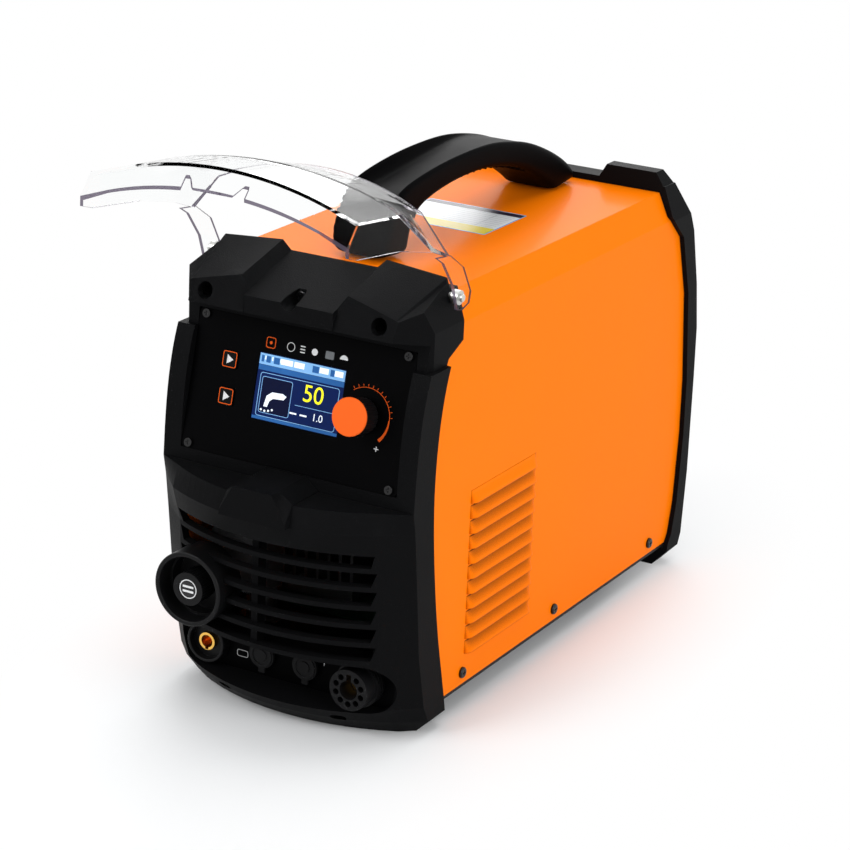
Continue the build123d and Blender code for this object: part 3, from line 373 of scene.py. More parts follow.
# dark tint for the visor's cut edges: painted shade standing in for the dark edge lines of a clear sheet
CLEAR_EDGE_SHADE = Finish("clear_cut_edge_shade", (0.12, 0.1, 0.14), 0.2, Texture.SMOOTH, edge=0.0, variation=0.05,
                    transmission=0.4, ior=1.03)
RUBBER = Finish("cap_rubber", (0.006, 0.006, 0.0065), 0.6, scale=2200.0, depth=0.02 * MM, specular=0.14)
BRASS = Finish("machined_brass", (0.86, 0.5, 0.11), 0.2, Texture.BRUSHED, scale=2600.0, depth=0.006 * MM,
               metallic=1.0)
SCREW = Finish("black_zinc", (0.003, 0.003, 0.0035), 0.16, Texture.SMOOTH, specular=0.35)
STEEL = Finish("zinc_plate", (0.62, 0.62, 0.6), 0.3, Texture.BRUSHED, scale=2400.0, depth=0.006 * MM,
               metallic=1.0)
TRAY = Finish("tray_coat", (0.012, 0.012, 0.012), 0.5, Texture.POWDER_COAT, scale=700.0, specular=0.15)
BOARD = Finish("solder_mask", (0.002, 0.02, 0.008), 0.4, Texture.POWDER_COAT, scale=2600.0, specular=0.2)
ALUMINIUM = Finish("extruded_aluminium", (0.14, 0.14, 0.145), 0.5, Texture.BRUSHED, scale=1800.0,
                   depth=0.01 * MM, metallic=1.0)
FERRITE = Finish("ferrite", (0.012, 0.012, 0.013), 0.55, scale=2000.0, specular=0.2)
WINDING = Finish("enamelled_wire", (0.05, 0.012, 0.004), 0.45, Texture.BRUSHED, scale=900.0, depth=0.1 * MM,
                 metallic=0.3, specular=0.3)
SLEEVE = Finish("capacitor_sleeve", (0.006, 0.008, 0.03), 0.35, Texture.SMOOTH, specular=0.2)
CASTING = Finish("cast_alloy", (0.16, 0.16, 0.165), 0.5, Texture.POWDER_COAT, scale=900.0, metallic=1.0)
WHITE_PRINT = Finish("white_print", (0.72, 0.73, 0.74), 0.5, Texture.SMOOTH, edge=0.0, variation=0.05,
                     specular=0.1)
GREY_PRINT = replace(WHITE_PRINT, name="grey_print", color=(0.16, 0.17, 0.18))
ORANGE_PRINT = replace(WHITE_PRINT, name="orange_print", color=(0.78, 0.1, 0.006))
LABEL_WHITE = Finish("label_white", (0.8, 0.82, 0.84), 0.32, Texture.SMOOTH, edge=0.0, variation=0.04)
LABEL_DARK = Finish("label_dark", (0.022, 0.014, 0.03), 0.32, Texture.SMOOTH, edge=0.0, specular=0.3)
LABEL_YELLOW = replace(LABEL_DARK, name="label_yellow", color=(0.78, 0.62, 0.008))
LABEL_BLUE = replace(LABEL_DARK, name="label_blue", color=(0.12, 0.42, 0.72))
LABEL_RULE = replace(LABEL_DARK, name="label_rule", color=(0.5, 0.52, 0.55))
GLOW_YELLOW = Finish("lit_yellow", (0.9, 0.85, 0.02), 0.2, Texture.SMOOTH, edge=0.0, variation=0.0,
                     specular=0.1, glow=0.45)
GLOW_WHITE = replace(GLOW_YELLOW, name="lit_white", color=(0.78, 0.85, 0.92), glow=0.4)
GLOW_SKY = replace(GLOW_YELLOW, name="lit_sky", color=(0.2, 0.42, 0.72), variation=0.5, glow=0.3)
GLOW_DEEP = replace(GLOW_YELLOW, name="lit_deep", color=(0.02, 0.1, 0.3), variation=0.8, glow=0.3)
GLOW_NAVY = replace(GLOW_YELLOW, name="lit_navy", color=(0.0002, 0.002, 0.02), variation=0.3, glow=0.4)

SLOT_FINISH: dict[str, Finish] = {
    "bezel_plastic": BEZEL_CAD, "cover_paint": ORANGE, "panel_black": PANEL, "black_plastic": PLASTIC,
    "key_cap": KEY, "knob_orange": KNOB_ORANGE, "badge": BADGE, "display": SCREEN, "lens_clear": CLEAR,
    "visor_clear": CLEAR, "rubber": RUBBER, "brass": BRASS, "screw_black": SCREW, "steel": STEEL,
    "tray_steel": TRAY, "circuit_board": BOARD, "heat_sink": ALUMINIUM, "ferrite": FERRITE,
    "copper_winding": WINDING, "capacitor_sleeve": SLEEVE, "cast_alloy": CASTING,
}


# ---------------------------------------------------------------- mesh helpers
def publish(name: str, bm: bmesh.types.BMesh, finish: Finish, body: str, slot: str | None = None,
            replaced: Sequence[str] = (), smooth: bool = False) -> bpy.types.Object:
    """Turn a finished bmesh into a piece of the object.

    Args:
        name: the piece's name.
        bm: the mesh in metres, in the object's frame.
        finish: its finish.
        body: the body that it moves with.
        slot: the record's material slot, if it has one; not used.
        replaced: CAD nodes that it stands for.
        smooth: whether its faces are shaded smooth.

    Returns:
        The new object.
    """
    mesh = bpy.data.meshes.new(name)
    bm.to_mesh(mesh)
    bm.free()
    if smooth:
        mesh.shade_smooth()
    mesh.materials.append(finish.material())
    piece = bpy.data.objects.new(name, mesh)
    bpy.context.scene.collection.objects.link(piece)
    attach(piece, body)
    if replaced:
        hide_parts(*replaced)
    LOG.info("%s on %s, %d faces", name, body, len(mesh.polygons))
    return piece


def add_plate(bm: bmesh.types.BMesh, outline: Iterable[Point], depth: float, place: Matrix) -> None:
    """Add a flat plate: a closed outline raised along local Z.

    Args:
        bm: the mesh that it joins.
        outline: counter-clockwise corners, in millimetres.
        depth: thickness, in millimetres.
        place: local millimetres to the object's metres.
    """
    corners = [bm.verts.new((x, y, 0.0)) for x, y in outline]
    base = bm.faces.new(corners)
    raised = bmesh.ops.extrude_face_region(bm, geom=[base])["geom"]
    top = [v for v in raised if isinstance(v, bmesh.types.BMVert)]
    bmesh.ops.translate(bm, verts=top, vec=(0.0, 0.0, depth))
    base.normal_flip()
    bmesh.ops.transform(bm, matrix=place, verts=corners + top)


def add_band(bm: bmesh.types.BMesh, outer: Sequence[Point], inner: Sequence[Point], depth: float,
             place: Matrix) -> None:
    """Add a closed band between two outlines with the same number of corners.

    Args:
        bm: the mesh that it joins.
        outer: outer corners, in millimetres.
        inner: inner corners, in millimetres.
        depth: thickness, in millimetres.
        place: local millimetres to the object's metres.
    """
    loops = []
    for outline in (outer, inner):
        corners = [bm.verts.new((x, y, 0.0)) for x, y in outline]
        loops.append([bm.edges.new((corners[i - 1], corners[i])) for i in range(len(corners))])
    flat = bmesh.ops.bridge_loops(bm, edges=loops[0] + loops[1])["faces"]
    raised = bmesh.ops.extrude_face_region(bm, geom=flat)["geom"]
    top = [v for v in raised if isinstance(v, bmesh.types.BMVert)]
    bmesh.ops.translate(bm, verts=top, vec=(0.0, 0.0, depth))
    base = {v for f in flat for v in f.verts}
    bmesh.ops.transform(bm, matrix=place, verts=list(base) + top)
    bmesh.ops.recalc_face_normals(bm, faces=bm.faces)


def rectangle(u: float, v: float, width: float, height: float) -> list[Point]:
    """Corners of a rectangle about a centre, in millimetres."""
    x, y = width / 2, height / 2
    return [(u - x, v - y), (u + x, v - y), (u + x, v + y), (u - x, v + y)]


def rounded(u: float, v: float, width: float, height: float, radius: float, steps: int = 5) -> list[Point]:
    """Corners of a round-cornered rectangle, counter-clockwise, in millimetres.

    Args:
        u, v: its centre.
        width, height: its size.
        radius: the corners' radius.
        steps: pieces that each corner is drawn with.

    Returns:
        The closed outline.
    """
    points = []
    for quarter, (sx, sy) in enumerate(((1, 1), (-1, 1), (-1, -1), (1, -1))):
        cx, cy = u + sx * (width / 2 - radius), v + sy * (height / 2 - radius)
        for step in range(steps + 1):
            angle = (quarter + step / steps) * pi / 2
            points.append((cx + radius * cos(angle), cy + radius * sin(angle)))
    return points


def circle(u: float, v: float, radius: float, steps: int = 40) -> list[Point]:
    """Corners of a circle about a centre, in millimetres."""
    turns = [2 * pi * i / steps for i in range(steps)]
    return [(u + radius * cos(turn), v + radius * sin(turn)) for turn in turns]


def arc_band(u: float, v: float, start: float, end: float, radius: float,
             width: tuple[float, float], steps: int = 24) -> list[Point]:
    """Outline of an arc band whose width changes along it.

    Args:
        u, v: the arc's centre, in millimetres.
        start, end: its angles in degrees, end above start.
        radius: its inner radius, in millimetres.
        width: the band's width at start and at end, in millimetres.
        steps: pieces that each side is drawn with.

    Returns:
        The closed outline, counter-clockwise.
    """
    outer, inner = [], []
    for step in range(steps + 1):
        share = step / steps
        angle = radians(start + (end - start) * share)
        reach = radius + width[0] + (width[1] - width[0]) * share
        outer.append((u + reach * cos(angle), v + reach * sin(angle)))
        inner.append((u + radius * cos(angle), v + radius * sin(angle)))
    return outer + inner[::-1]


def facing(origin: Vector, right: Vector, up: Vector) -> Matrix:
    """Matrix from local millimetres, with Z outwards, to the object's metres.

    Args:
        origin: where the local origin lies, in metres.
        right: direction of local X.
        up: direction of local Y.

    Returns:
        The matrix.
    """
    out = right.cross(up)
    turn = Matrix((right, up, out)).transposed().to_4x4()
    return Matrix.Translation(origin) @ turn @ Matrix.Scale(MM, 4)


def add_text(bm: bmesh.types.BMesh, words: str, size: float, depth: float, place: Matrix) -> None:
    """Add raised characters, centred on the local origin.

    Args:
        bm: the mesh that they join.
        words: digits or signs.
        size: character size, in millimetres.
        depth: thickness, in millimetres.
        place: local millimetres to the object's metres.
    """
    curve = bpy.data.curves.new("characters", "FONT")
    curve.body = words
    curve.size = size
    curve.extrude = depth / 2
    curve.align_x = "CENTER"
    curve.align_y = "CENTER"
    holder = bpy.data.objects.new("characters", curve)
    mesh = bpy.data.meshes.new_from_object(holder)
    mesh.transform(place @ Matrix.Translation((0.0, 0.0, depth / 2)))
    bm.from_mesh(mesh)
    bpy.data.objects.remove(holder)
    bpy.data.curves.remove(curve)
    bpy.data.meshes.remove(mesh)


def eased_copy(node: str, name: str, finish: Finish, width: float, angle: float, crease: float = 7.0,
               segments: int = 2, weighted: bool = True) -> bpy.types.Object:
    """Stand a copy of a CAD node in its place, with its sharp edges rounded.

    Args:
        node: the CAD node.
        name: the new piece's name.
        finish: its finish.
        width: the rounding, in metres.
        angle: edges sharper than this are rounded, in degrees.
        crease: edges sharper than this aren't shaded smooth, in degrees.
        segments: steps across each rounding.
        weighted: whether large faces keep their own normals beside the rounding.

    Returns:
        The new piece.
    """
    source = frame["nodes"][node]
    bm = bmesh.new()
    bm.from_mesh(source.data)
    bmesh.ops.remove_doubles(bm, verts=bm.verts, dist=MERGE_DISTANCE)
    bmesh.ops.dissolve_limit(bm, angle_limit=FLAT_ANGLE, verts=bm.verts, edges=bm.edges)
    slots = {row["node"]: row["material_slot"] for row in frame["record"]["subparts"]}
    piece = publish(name, bm, finish, source["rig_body"], slots[node], [node], smooth=True)
    piece.data.set_sharp_from_angle(angle=radians(crease))
    rounding = piece.modifiers.new("rounding", "BEVEL")
    rounding.width = width
    rounding.segments = segments
    rounding.limit_method = "ANGLE"
    rounding.angle_limit = radians(angle)
    rounding.use_clamp_overlap = True
    if weighted:
        facets = piece.modifiers.new("flat_facets", "WEIGHTED_NORMAL")
        facets.weight = 100
        facets.keep_sharp = True
    return piece


# ---------------------------------------------------------------- sub-assemblies
@dataclass
class Housing:
    """Moulded end bezels and the clear visor, with eased edges."""

    bezel_rounding: float = 0.8 * MM
    bezel_sharp: float = 14.0
    visor_rounding: float = 0.2 * MM
    visor_sharp: float = 60.0
    visor_crease: float = 0.0
    visor_cut: float = 35.0
    visor_sheet: float = 2.4 * MM
    cut_share: float = 0.6

    def build(self) -> None:
        """Build every eased piece."""
        eased_copy("front_bezel", "front_bezel_moulding", BEZEL, self.bezel_rounding, self.bezel_sharp)
        eased_copy("rear_bezel", "rear_bezel_moulding", BEZEL, self.bezel_rounding, self.bezel_sharp)
        self.build_visor()

    def build_visor(self) -> None:
        """The clear visor, its narrow cut edges tinted dark as painted shade for the dark lines along a clear
        sheet's edges.
        """
        visor = eased_copy("visor", "visor_shell", CLEAR, self.visor_rounding, self.visor_sharp,
                           crease=self.visor_crease, segments=1, weighted=False)
        visor.data.materials.append(CLEAR_EDGE_SHADE.material())
        bm = bmesh.new()
        bm.from_mesh(visor.data)
        for face in bm.faces:
            around = face.calc_perimeter()
            bounded = sum(e.calc_length() for e in face.edges
                          if e.calc_face_angle(0.0) >= radians(self.visor_cut))
            narrow = 2 * face.calc_area() / around < 1.1 * self.visor_sheet
            if narrow and bounded > self.cut_share * around:
                # narrow cut-edge faces take the painted edge shade
                face.material_index = 1
        bm.to_mesh(visor.data)
        bm.free()


@dataclass
class Handle:
    """Carrying handle: two flared feet, a scooped front paddle and a ribbed grip."""

    half_width: float = 22.0
    # y and z of the upper face, y and z of the under face, and the scoop's depth, in millimetres
    stations: tuple[tuple[float, float, float, float, float], ...] = (
        (-101, 307, -67, 307, 0), (-98, 325, -65, 315, 0), (-93, 341, -63, 323, 4), (-84, 353, -58, 331, 9),
        (-66, 358.5, -48, 337.5, 12), (-40, 362, -33, 341.5, 12), (-11, 364.5, -8, 345, 11),
        (20, 365, 16, 346, 9), (45, 364.5, 40, 345.5, 6.5), (67, 362, 62, 343, 4), (95, 356.5, 88, 337.5, 2),
        (118, 350, 108, 331, 1), (153, 336, 132, 319, 0), (180, 321, 146, 310, 0), (192, 307, 150, 307, 0))
    corners: int = 48
    squareness: float = 6.0
    rim: float = 3.2
    wall_steepness: float = 9.0
    ribs: int = 17
    rib_radius: float = 1.5 * MM
    rib_length: float = 34 * MM
    rib_rise: float = 0.5

    def section(self, station: tuple[float, float, float, float, float]) -> list[Vector]:
        """One cross-section of the handle.

        Args:
            station: y and z of its upper face, y and z of its under face, and its scoop, in millimetres.

        Returns:
            The corners, in metres.
        """
        upper, under, scoop = Vector((0, *station[:2])), Vector((0, *station[2:4])), station[4]
        middle, half = (upper + under) / 2, (upper - under) / 2
        points = []
        for i in range(self.corners):
            angle = 2 * pi * i / self.corners
            c, s = cos(angle), sin(angle)
            across = self.half_width * (1 if c >= 0 else -1) * abs(c) ** (2 / self.squareness)
            rise = (1 if s >= 0 else -1) * abs(s) ** (2 / self.squareness)
            point = middle + half * rise
            if rise > 0.5:
                share = abs(across) / (self.half_width - self.rim)
                inside = max(0.0, 1.0 - share ** self.wall_steepness)
                point -= half.normalized() * scoop * inside
            points.append(Vector((across, point.y, point.z)) * MM)
        return points

    def build(self) -> None:
        """Build the handle and the ribs under its grip."""
        bm = bmesh.new()
        loops = []
        for number, station in enumerate(self.stations):
            ends = number in (0, len(self.stations) - 1)
            ring = bmesh.ops.create_circle(bm, cap_ends=ends, segments=self.corners, radius=1.0)["verts"]
            for vert, place in zip(ring, self.section(station)):
                vert.co = place
            loops.append([e for e in bm.edges if e.verts[0] in ring and e.verts[1] in ring])
        for near, far in zip(loops, loops[1:]):
            bmesh.ops.bridge_loops(bm, edges=near + far)
        bmesh.ops.recalc_face_normals(bm, faces=bm.faces)
        piece = publish("handle_grip", bm, GRIP, "chassis", "bezel_plastic", ["handle"], smooth=True)
        rounding = piece.modifiers.new("rounding", "SUBSURF")
        rounding.levels = 2
        rounding.render_levels = 2
        self.build_ribs()

    def build_ribs(self) -> None:
        """Cross ribs under the grip."""
        bm = bmesh.new()
        grip = self.stations[5:12]
        for rib in range(self.ribs):
            place = rib / (self.ribs - 1) * (len(grip) - 1)
            low = min(int(place), len(grip) - 2)
            share = place - low
            y = grip[low][2] * (1 - share) + grip[low + 1][2] * share
            z = grip[low][3] * (1 - share) + grip[low + 1][3] * share
            middle = Vector((0, y, z + self.rib_rise)) * MM
            turn = Matrix.Translation(middle) @ Matrix.Rotation(pi / 2, 4, "Y")
            bmesh.ops.create_cone(bm, cap_ends=True, segments=14, radius1=self.rib_radius,
                                  radius2=self.rib_radius, depth=self.rib_length, matrix=turn)
        publish("handle_ribs", bm, GRIP, "chassis", "bezel_plastic", smooth=True)


@dataclass
class Louvres:
    """Pressed louvre hoods in the cover's sides: swelling outwards to an open lower lip over a dark slit,
    whose dark plate reaches below the lip as a painted shadow.
    """

    rows: int = 11
    share: float = 0.85
    swell: float = 3.5
    late_swell: float = 2.2
    sheet: float = 95.0
    seam: float = 0.1
    gauge: float = 0.8
    round_end: float = 7.0
    # a dark plate for the slit, reaching below the lip as a painted shadow: its distance from the hood's end,
    # its height, and how far it reaches below the lip
    slit_and_shadow: tuple[float, float, float] = (2.5, 2.4, 1.0)
    slit_and_shadow_seam: float = 0.02
    slit_and_shadow_depth: float = 0.05
    grid: tuple[int, int] = (40, 9)

    def lift(self, along: float, down: float, length: float) -> float:
        """How far the sheet swells, in millimetres.

        Args:
            along: place along the hood, from 0 to 1.
            down: place down the hood, from 0 to 1.
            length: the hood's length, in millimetres.

        Returns:
            The distance from the cover's sheet.
        """
        near_end = min(min(along, 1 - along) * length / self.round_end, 1.0)
        return self.swell * (1 - (1 - near_end) ** 2) ** 0.5 * sin(down * pi / 2) ** self.late_swell

    def build(self) -> None:
        """Build both sides' hoods, and the dark plates for the slits under their lips, which reach below the
        lips as painted shadow.
        """
        low, high = (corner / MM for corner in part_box("louvre_hoods"))
        length, pitch = high.y - low.y, (high.z - low.z) / (self.rows - 1 + self.share)
        hoods, slits_and_shadows = bmesh.new(), bmesh.new()
        for side in (1, -1):
            for row in range(self.rows):
                top = high.z - row * pitch
                grid = bmesh.ops.create_grid(hoods, x_segments=self.grid[0], y_segments=self.grid[1],
                                             size=0.5)
                for vert in grid["verts"]:
                    along, down = vert.co.x + 0.5, 0.5 - vert.co.y
                    reach = self.sheet + self.seam + self.lift(along, down, length)
                    z = top - down * pitch * self.share
                    vert.co = Vector((side * reach, low.y + along * length, z)) * MM
                # the dark plate stands for the slit, and below the lip it paints the lip's shadow
                end, height, below = self.slit_and_shadow
                place = facing(RIGHT * side * (self.sheet + self.slit_and_shadow_seam) * MM, BACK * side, UP)
                middle = top - pitch * self.share + height / 2 - below
                slit_and_shadow_outline = rounded(side * (low.y + high.y) / 2, middle, length - 2 * end, height, height / 2.1)
                add_plate(slits_and_shadows, slit_and_shadow_outline, self.slit_and_shadow_depth, place)
        for face in hoods.faces:
            face.normal_update()
            if face.normal.x * face.calc_center_median().x < 0:
                face.normal_flip()
        piece = publish("louvre_pressings", hoods, ORANGE, "chassis", "cover_paint", ["louvre_hoods"],
                        smooth=True)
        wall = piece.modifiers.new("wall", "SOLIDIFY")
        wall.thickness = self.gauge * MM
        wall.offset = -1.0
        publish("louvre_slits_and_shadows", slits_and_shadows, SLIT_AND_SHADOW, "chassis", "cover_paint")


@dataclass
class ControlPanel:
    """What is printed on the control panel, its lit screen and its keys."""

    knob_u: float = 52.5
    screen_v: float = 4.0
    screen: Point = (67.4, 44.8)
    # the glass's back, the first layer and the second layer, from the panel's face
    screen_levels: tuple[float, float, float] = (-1.3, -0.6, -0.5)
    keys: tuple[tuple[str, float, float], ...] = (
        ("cut_mode_key", -55.7, 17.2), ("air_test_key", -54.7, -7.8))
    marks_v: float = 34.0
    ticks: int = 12
    first_tick: float = 6.0
    tick_step: float = 10.6
    tick_radius: float = 20.2
    print_depth: float = 0.12
    key_front: float = 1.2

    def plane(self, w: float, u: float = 0.0, v: float = 0.0) -> Matrix:
        """Place on the control panel.

        Args:
            w: distance in front of its face, in millimetres.
            u, v: distance right of and above its middle, in millimetres.

        Returns:
            Matrix from the place's millimetres to the object's metres.
        """
        knob = next(j for j in frame["joints"] if j["name"] == "current_knob_turn")
        out = Vector(knob["axis"]).normalized()
        up = out.cross(RIGHT)
        origin = Vector(knob["pos_m"]) + (RIGHT * (u - self.knob_u) + up * v + out * w) * MM
        return facing(origin, RIGHT, up)

    def build(self) -> None:
        """Build the screen, the keys' print and the panel's print."""
        self.build_screen()
        self.build_keys()
        self.build_print()

    def build_screen(self) -> None:
        """The lit screen, in layers of flat colour."""
        width, height = self.screen
        base, layer, second = (self.plane(level, 0, self.screen_v) for level in self.screen_levels)
        figures = self.screen_levels[1]
        bm = bmesh.new()
        add_plate(bm, rectangle(0, 0, width, height), 0.7, base)
        publish("screen_glass", bm, SCREEN, "chassis", "display", ["display_lens"])

        bm = bmesh.new()
        add_plate(bm, rectangle(0, 18.4, width - 0.6, 7.4), 0.1, layer)
        publish("screen_header", bm, GLOW_SKY, "chassis", "display")

        bm = bmesh.new()
        add_plate(bm, rectangle(0, 12.7, width - 0.6, 3.6), 0.05, layer)
        add_plate(bm, rectangle(0, -21.2, width - 0.6, 2.0), 0.05, layer)
        for u, length in ((-31.0, 2.0), (-26.5, 3.4), (-20.0, 4.6), (10.5, 5.0), (23.5, 3.0)):
            add_plate(bm, rectangle(u, 18.6, length, 4.4), 0.06, second)
        publish("screen_bands", bm, GLOW_DEEP, "chassis", "display")

        bm = bmesh.new()
        for u, length in ((-12.2, 9.5), (-2.4, 8.0), (17.0, 7.0), (28.6, 6.4)):
            add_plate(bm, rectangle(u, 18.9, length, 3.8), 0.06, second)
        for u in (-28.9, -23.4, -17.0):
            add_plate(bm, rectangle(u, 19.4, 0.9, 2.6), 0.06, second)
        publish("screen_header_blocks", bm, GLOW_WHITE, "chassis", "display")

        bm = bmesh.new()
        add_band(bm, rounded(0, -5.2, 62, 29.5, 2.0), rounded(0, -5.2, 61.2, 28.7, 1.6), 0.1, layer)
        add_band(bm, rounded(-17.2, -5.2, 24, 24.5, 1.6), rounded(-17.2, -5.2, 23.3, 23.8, 1.25), 0.1, layer)
        add_plate(bm, rectangle(13.5, -7.6, 30, 0.35), 0.1, layer)
        publish("screen_lines", bm, GLOW_SKY, "chassis", "display")

        bm = bmesh.new()
        add_plate(bm, rounded(-17.2, -5.2, 22.8, 23.3, 1.1), 0.05, layer)
        publish("screen_box", bm, GLOW_NAVY, "chassis", "display")

        torch = [(-25.5, -13.0), (-22.6, -13.0), (-21.4, -9.0), (-18.8, -6.8), (-10.5, -6.2), (-8.6, -3.6),
                 (-11.5, -2.2), (-20.0, -2.6), (-24.0, -5.6)]
        bm = bmesh.new()
        add_plate(bm, torch, 0.06, second)
        for u, v in ((-27.0, -15.4), (-24.1, -15.9), (-21.2, -15.4), (-18.4, -14.4)):
            add_plate(bm, circle(u, v, 0.8, 12), 0.06, second)
        for u in (-5.4, 2.6):
            add_plate(bm, rectangle(u + 3.4, -13.4, 5.4, 1.1), 0.06, layer)
        add_text(bm, "1.0", 7.0, 0.1, self.plane(figures, 17.0, self.screen_v - 13.2))
        publish("screen_small_figures", bm, GLOW_WHITE, "chassis", "display")

        bm = bmesh.new()
        add_text(bm, "50", 16.5, 0.1, self.plane(figures, 11.5, self.screen_v + 1.2))
        publish("screen_large_figures", bm, GLOW_YELLOW, "chassis", "display")

    def build_keys(self) -> None:
        """A rounded square line and a triangle on each key, moving with it."""
        for body, u, v in self.keys:
            face = self.plane(self.key_front, u, v)
            bm = bmesh.new()
            add_band(bm, rounded(0, 0, 10.9, 10.9, 1.5), rounded(0, 0, 9.9, 9.9, 1.1), self.print_depth, face)
            publish(f"{body}_line", bm, ORANGE_PRINT, body, "key_cap")
            bm = bmesh.new()
            add_plate(bm, [(-2.0, -3.2), (2.9, 0.0), (-2.0, 3.2)], self.print_depth, face)
            publish(f"{body}_triangle", bm, WHITE_PRINT, body, "key_cap")

    def build_print(self) -> None:
        """The knob's scale, and a row of plain marks over the screen."""
        depth, face = self.print_depth, self.plane(0.0)
        bm = bmesh.new()
        add_plate(bm, arc_band(self.knob_u, 0, 0, 126, 18.6, (0.4, 0.3)), depth, face)
        add_plate(bm, arc_band(self.knob_u, 0, -48, 0, 18.2, (2.2, 0.8)), depth, face)
        for tick in range(self.ticks):
            angle = radians(self.first_tick + self.tick_step * tick)
            turn = Matrix.Rotation(angle, 4, "Z") @ Matrix.Translation(RIGHT * self.tick_radius)
            add_plate(bm, rectangle(0, 0, 1.6, 0.35), depth,
                      face @ Matrix.Translation(RIGHT * self.knob_u) @ turn)
        v = self.marks_v
        add_band(bm, rounded(-26.2, v, 7.4, 7.4, 1.6), rounded(-26.2, v, 6.4, 6.4, 1.2), depth, face)
        add_plate(bm, circle(-26.2, v, 1.1, 20), depth, face)
        publish("panel_orange_print", bm, ORANGE_PRINT, "chassis", "panel_black")

        bm = bmesh.new()
        plus = (self.knob_u + 12.2, -20.0)
        for width, height in ((3.4, 0.6), (0.6, 3.4)):
            add_plate(bm, rectangle(*plus, width, height), depth, face)
        add_band(bm, circle(-10.5, v, 3.1), circle(-10.5, v, 2.7), depth, face)
        for bar in (-2.0, 0.0, 2.0):
            add_plate(bm, rectangle(-1.3, v + bar, 3.6, 0.7), depth, face)
        add_plate(bm, circle(8.1, v, 2.3, 24), depth, face)
        add_plate(bm, arc_band(30.8, v - 1.0, 0, 180, 0.2, (2.9, 2.9)), depth, face)
        publish("panel_white_print", bm, WHITE_PRINT, "chassis", "panel_black")

        bm = bmesh.new()
        add_plate(bm, rounded(19.8, v, 6.6, 5.2, 0.8), depth, face)
        publish("panel_grey_print", bm, GREY_PRINT, "chassis", "panel_black")


@dataclass
class SmallPrint:
    """Marks by the sockets, on the regulator's badge and on the mains switch, and the blank label."""

    socket_face: float = -169.0
    badge_front: float = -212.6
    label_x: Point = (-42.0, 38.0)
    label_y: Point = (11.0, 75.0)
    label_rules: int = 8
    rocker_tilt: float = 9.0
    rocker_front: float = 7.0
    mark_depth: float = 0.12
    badge_depth: float = 0.15

    def build(self) -> None:
        """Build every mark and the label."""
        front, depth = facing(BACK * self.socket_face * MM, RIGHT, UP), self.mark_depth
        bm = bmesh.new()
        for u, v, width, height in ((-34, 45.5, 3.2, 0.7), (-3, 45.5, 3.2, 0.7), (-3, 45.5, 0.7, 3.2)):
            add_plate(bm, rectangle(u, v, width, height), depth, front)
        for u, v, turn in ((-10.0, 46.0, 0.5), (25.0, 46.0, 0.5), (26.0, 40.5, 0.0)):
            stroke = [(u, v), (u + 0.5, v), (u + 0.5 + turn, v + 1.9), (u + turn, v + 1.9)]
            add_plate(bm, stroke, depth, front)
        add_band(bm, rounded(-40.0, 33, 9.0, 5.0, 1.4), rounded(-40.0, 33, 8.3, 4.3, 1.1), depth, front)
        publish("socket_marks", bm, WHITE_PRINT, "chassis", "panel_black")

        knob = next(j for j in frame["joints"] if j["name"] == "regulator_turn")
        place = Vector((knob["pos_m"][0], self.badge_front * MM, knob["pos_m"][2]))
        badge = facing(place, RIGHT, UP)
        bm = bmesh.new()
        add_band(bm, circle(0, 0, 6.9), circle(0, 0, 6.2), self.badge_depth, badge)
        for v in (1.7, -1.7):
            add_plate(bm, rectangle(0, v, 8.6, 1.5), self.badge_depth, badge)
        publish("regulator_badge_print", bm, WHITE_PRINT, "regulator_knob", "badge")
        self.build_rocker_marks()
        self.build_label()

    def build_rocker_marks(self) -> None:
        """The plain on and off marks of the mains switch."""
        rocker = next(j for j in frame["joints"] if j["name"] == "power_switch_rock")
        tilt = radians(self.rocker_tilt)
        out, up = Vector((0, cos(tilt), sin(tilt))), Vector((0, -sin(tilt), cos(tilt)))
        face = facing(Vector(rocker["pos_m"]) + out * self.rocker_front * MM, -RIGHT, up)
        bm = bmesh.new()
        add_plate(bm, rectangle(0, 6, 0.9, 5), self.mark_depth, face)
        add_band(bm, circle(0, -6, 2.6), circle(0, -6, 1.8), self.mark_depth, face)
        publish("switch_marks", bm, WHITE_PRINT, "power_switch_rocker", "black_plastic")

    def build_label(self) -> None:
        """A blank label on the cover's top: bands of colour and no words."""
        (x0, x1), (y0, y1) = self.label_x, self.label_y
        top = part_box("cover")[1].z
        lower, upper, ruled = (facing(UP * (top + rise * MM), RIGHT, BACK) for rise in (0.0, 0.1, 0.2))
        middle_x = (x0 + x1) / 2
        bm = bmesh.new()
        add_plate(bm, rounded(middle_x, (y0 + y1) / 2, x1 - x0, y1 - y0, 1.5), 0.1, lower)
        publish("label_sheet", bm, LABEL_BLUE, "chassis", "cover_paint")
        bands = (("label_field", LABEL_WHITE, y0 + 1, y1 - 1, 0.05),
                 ("label_header", LABEL_DARK, y1 - 9, y1 - 1.5, 0.1),
                 ("label_band", LABEL_YELLOW, y0 + 1.5, y0 + 17, 0.1))
        for name, finish, low, high, depth in bands:
            bm = bmesh.new()
            add_plate(bm, rectangle(middle_x, (low + high) / 2, x1 - x0 - 2, high - low), depth, upper)
            publish(name, bm, finish, "chassis", "cover_paint")
        bm = bmesh.new()
        for line in range(self.label_rules):
            y = y0 + 20 + 4.6 * line
            add_plate(bm, rectangle(middle_x, y, x1 - x0 - 8, 0.5), 0.04, ruled)
        for x in (x0 + 18, x1 - 18):
            add_plate(bm, rectangle(x, (y0 + y1) / 2 + 4, 0.5, 36), 0.05, ruled)
        publish("label_rules", bm, LABEL_RULE, "chassis", "cover_paint")


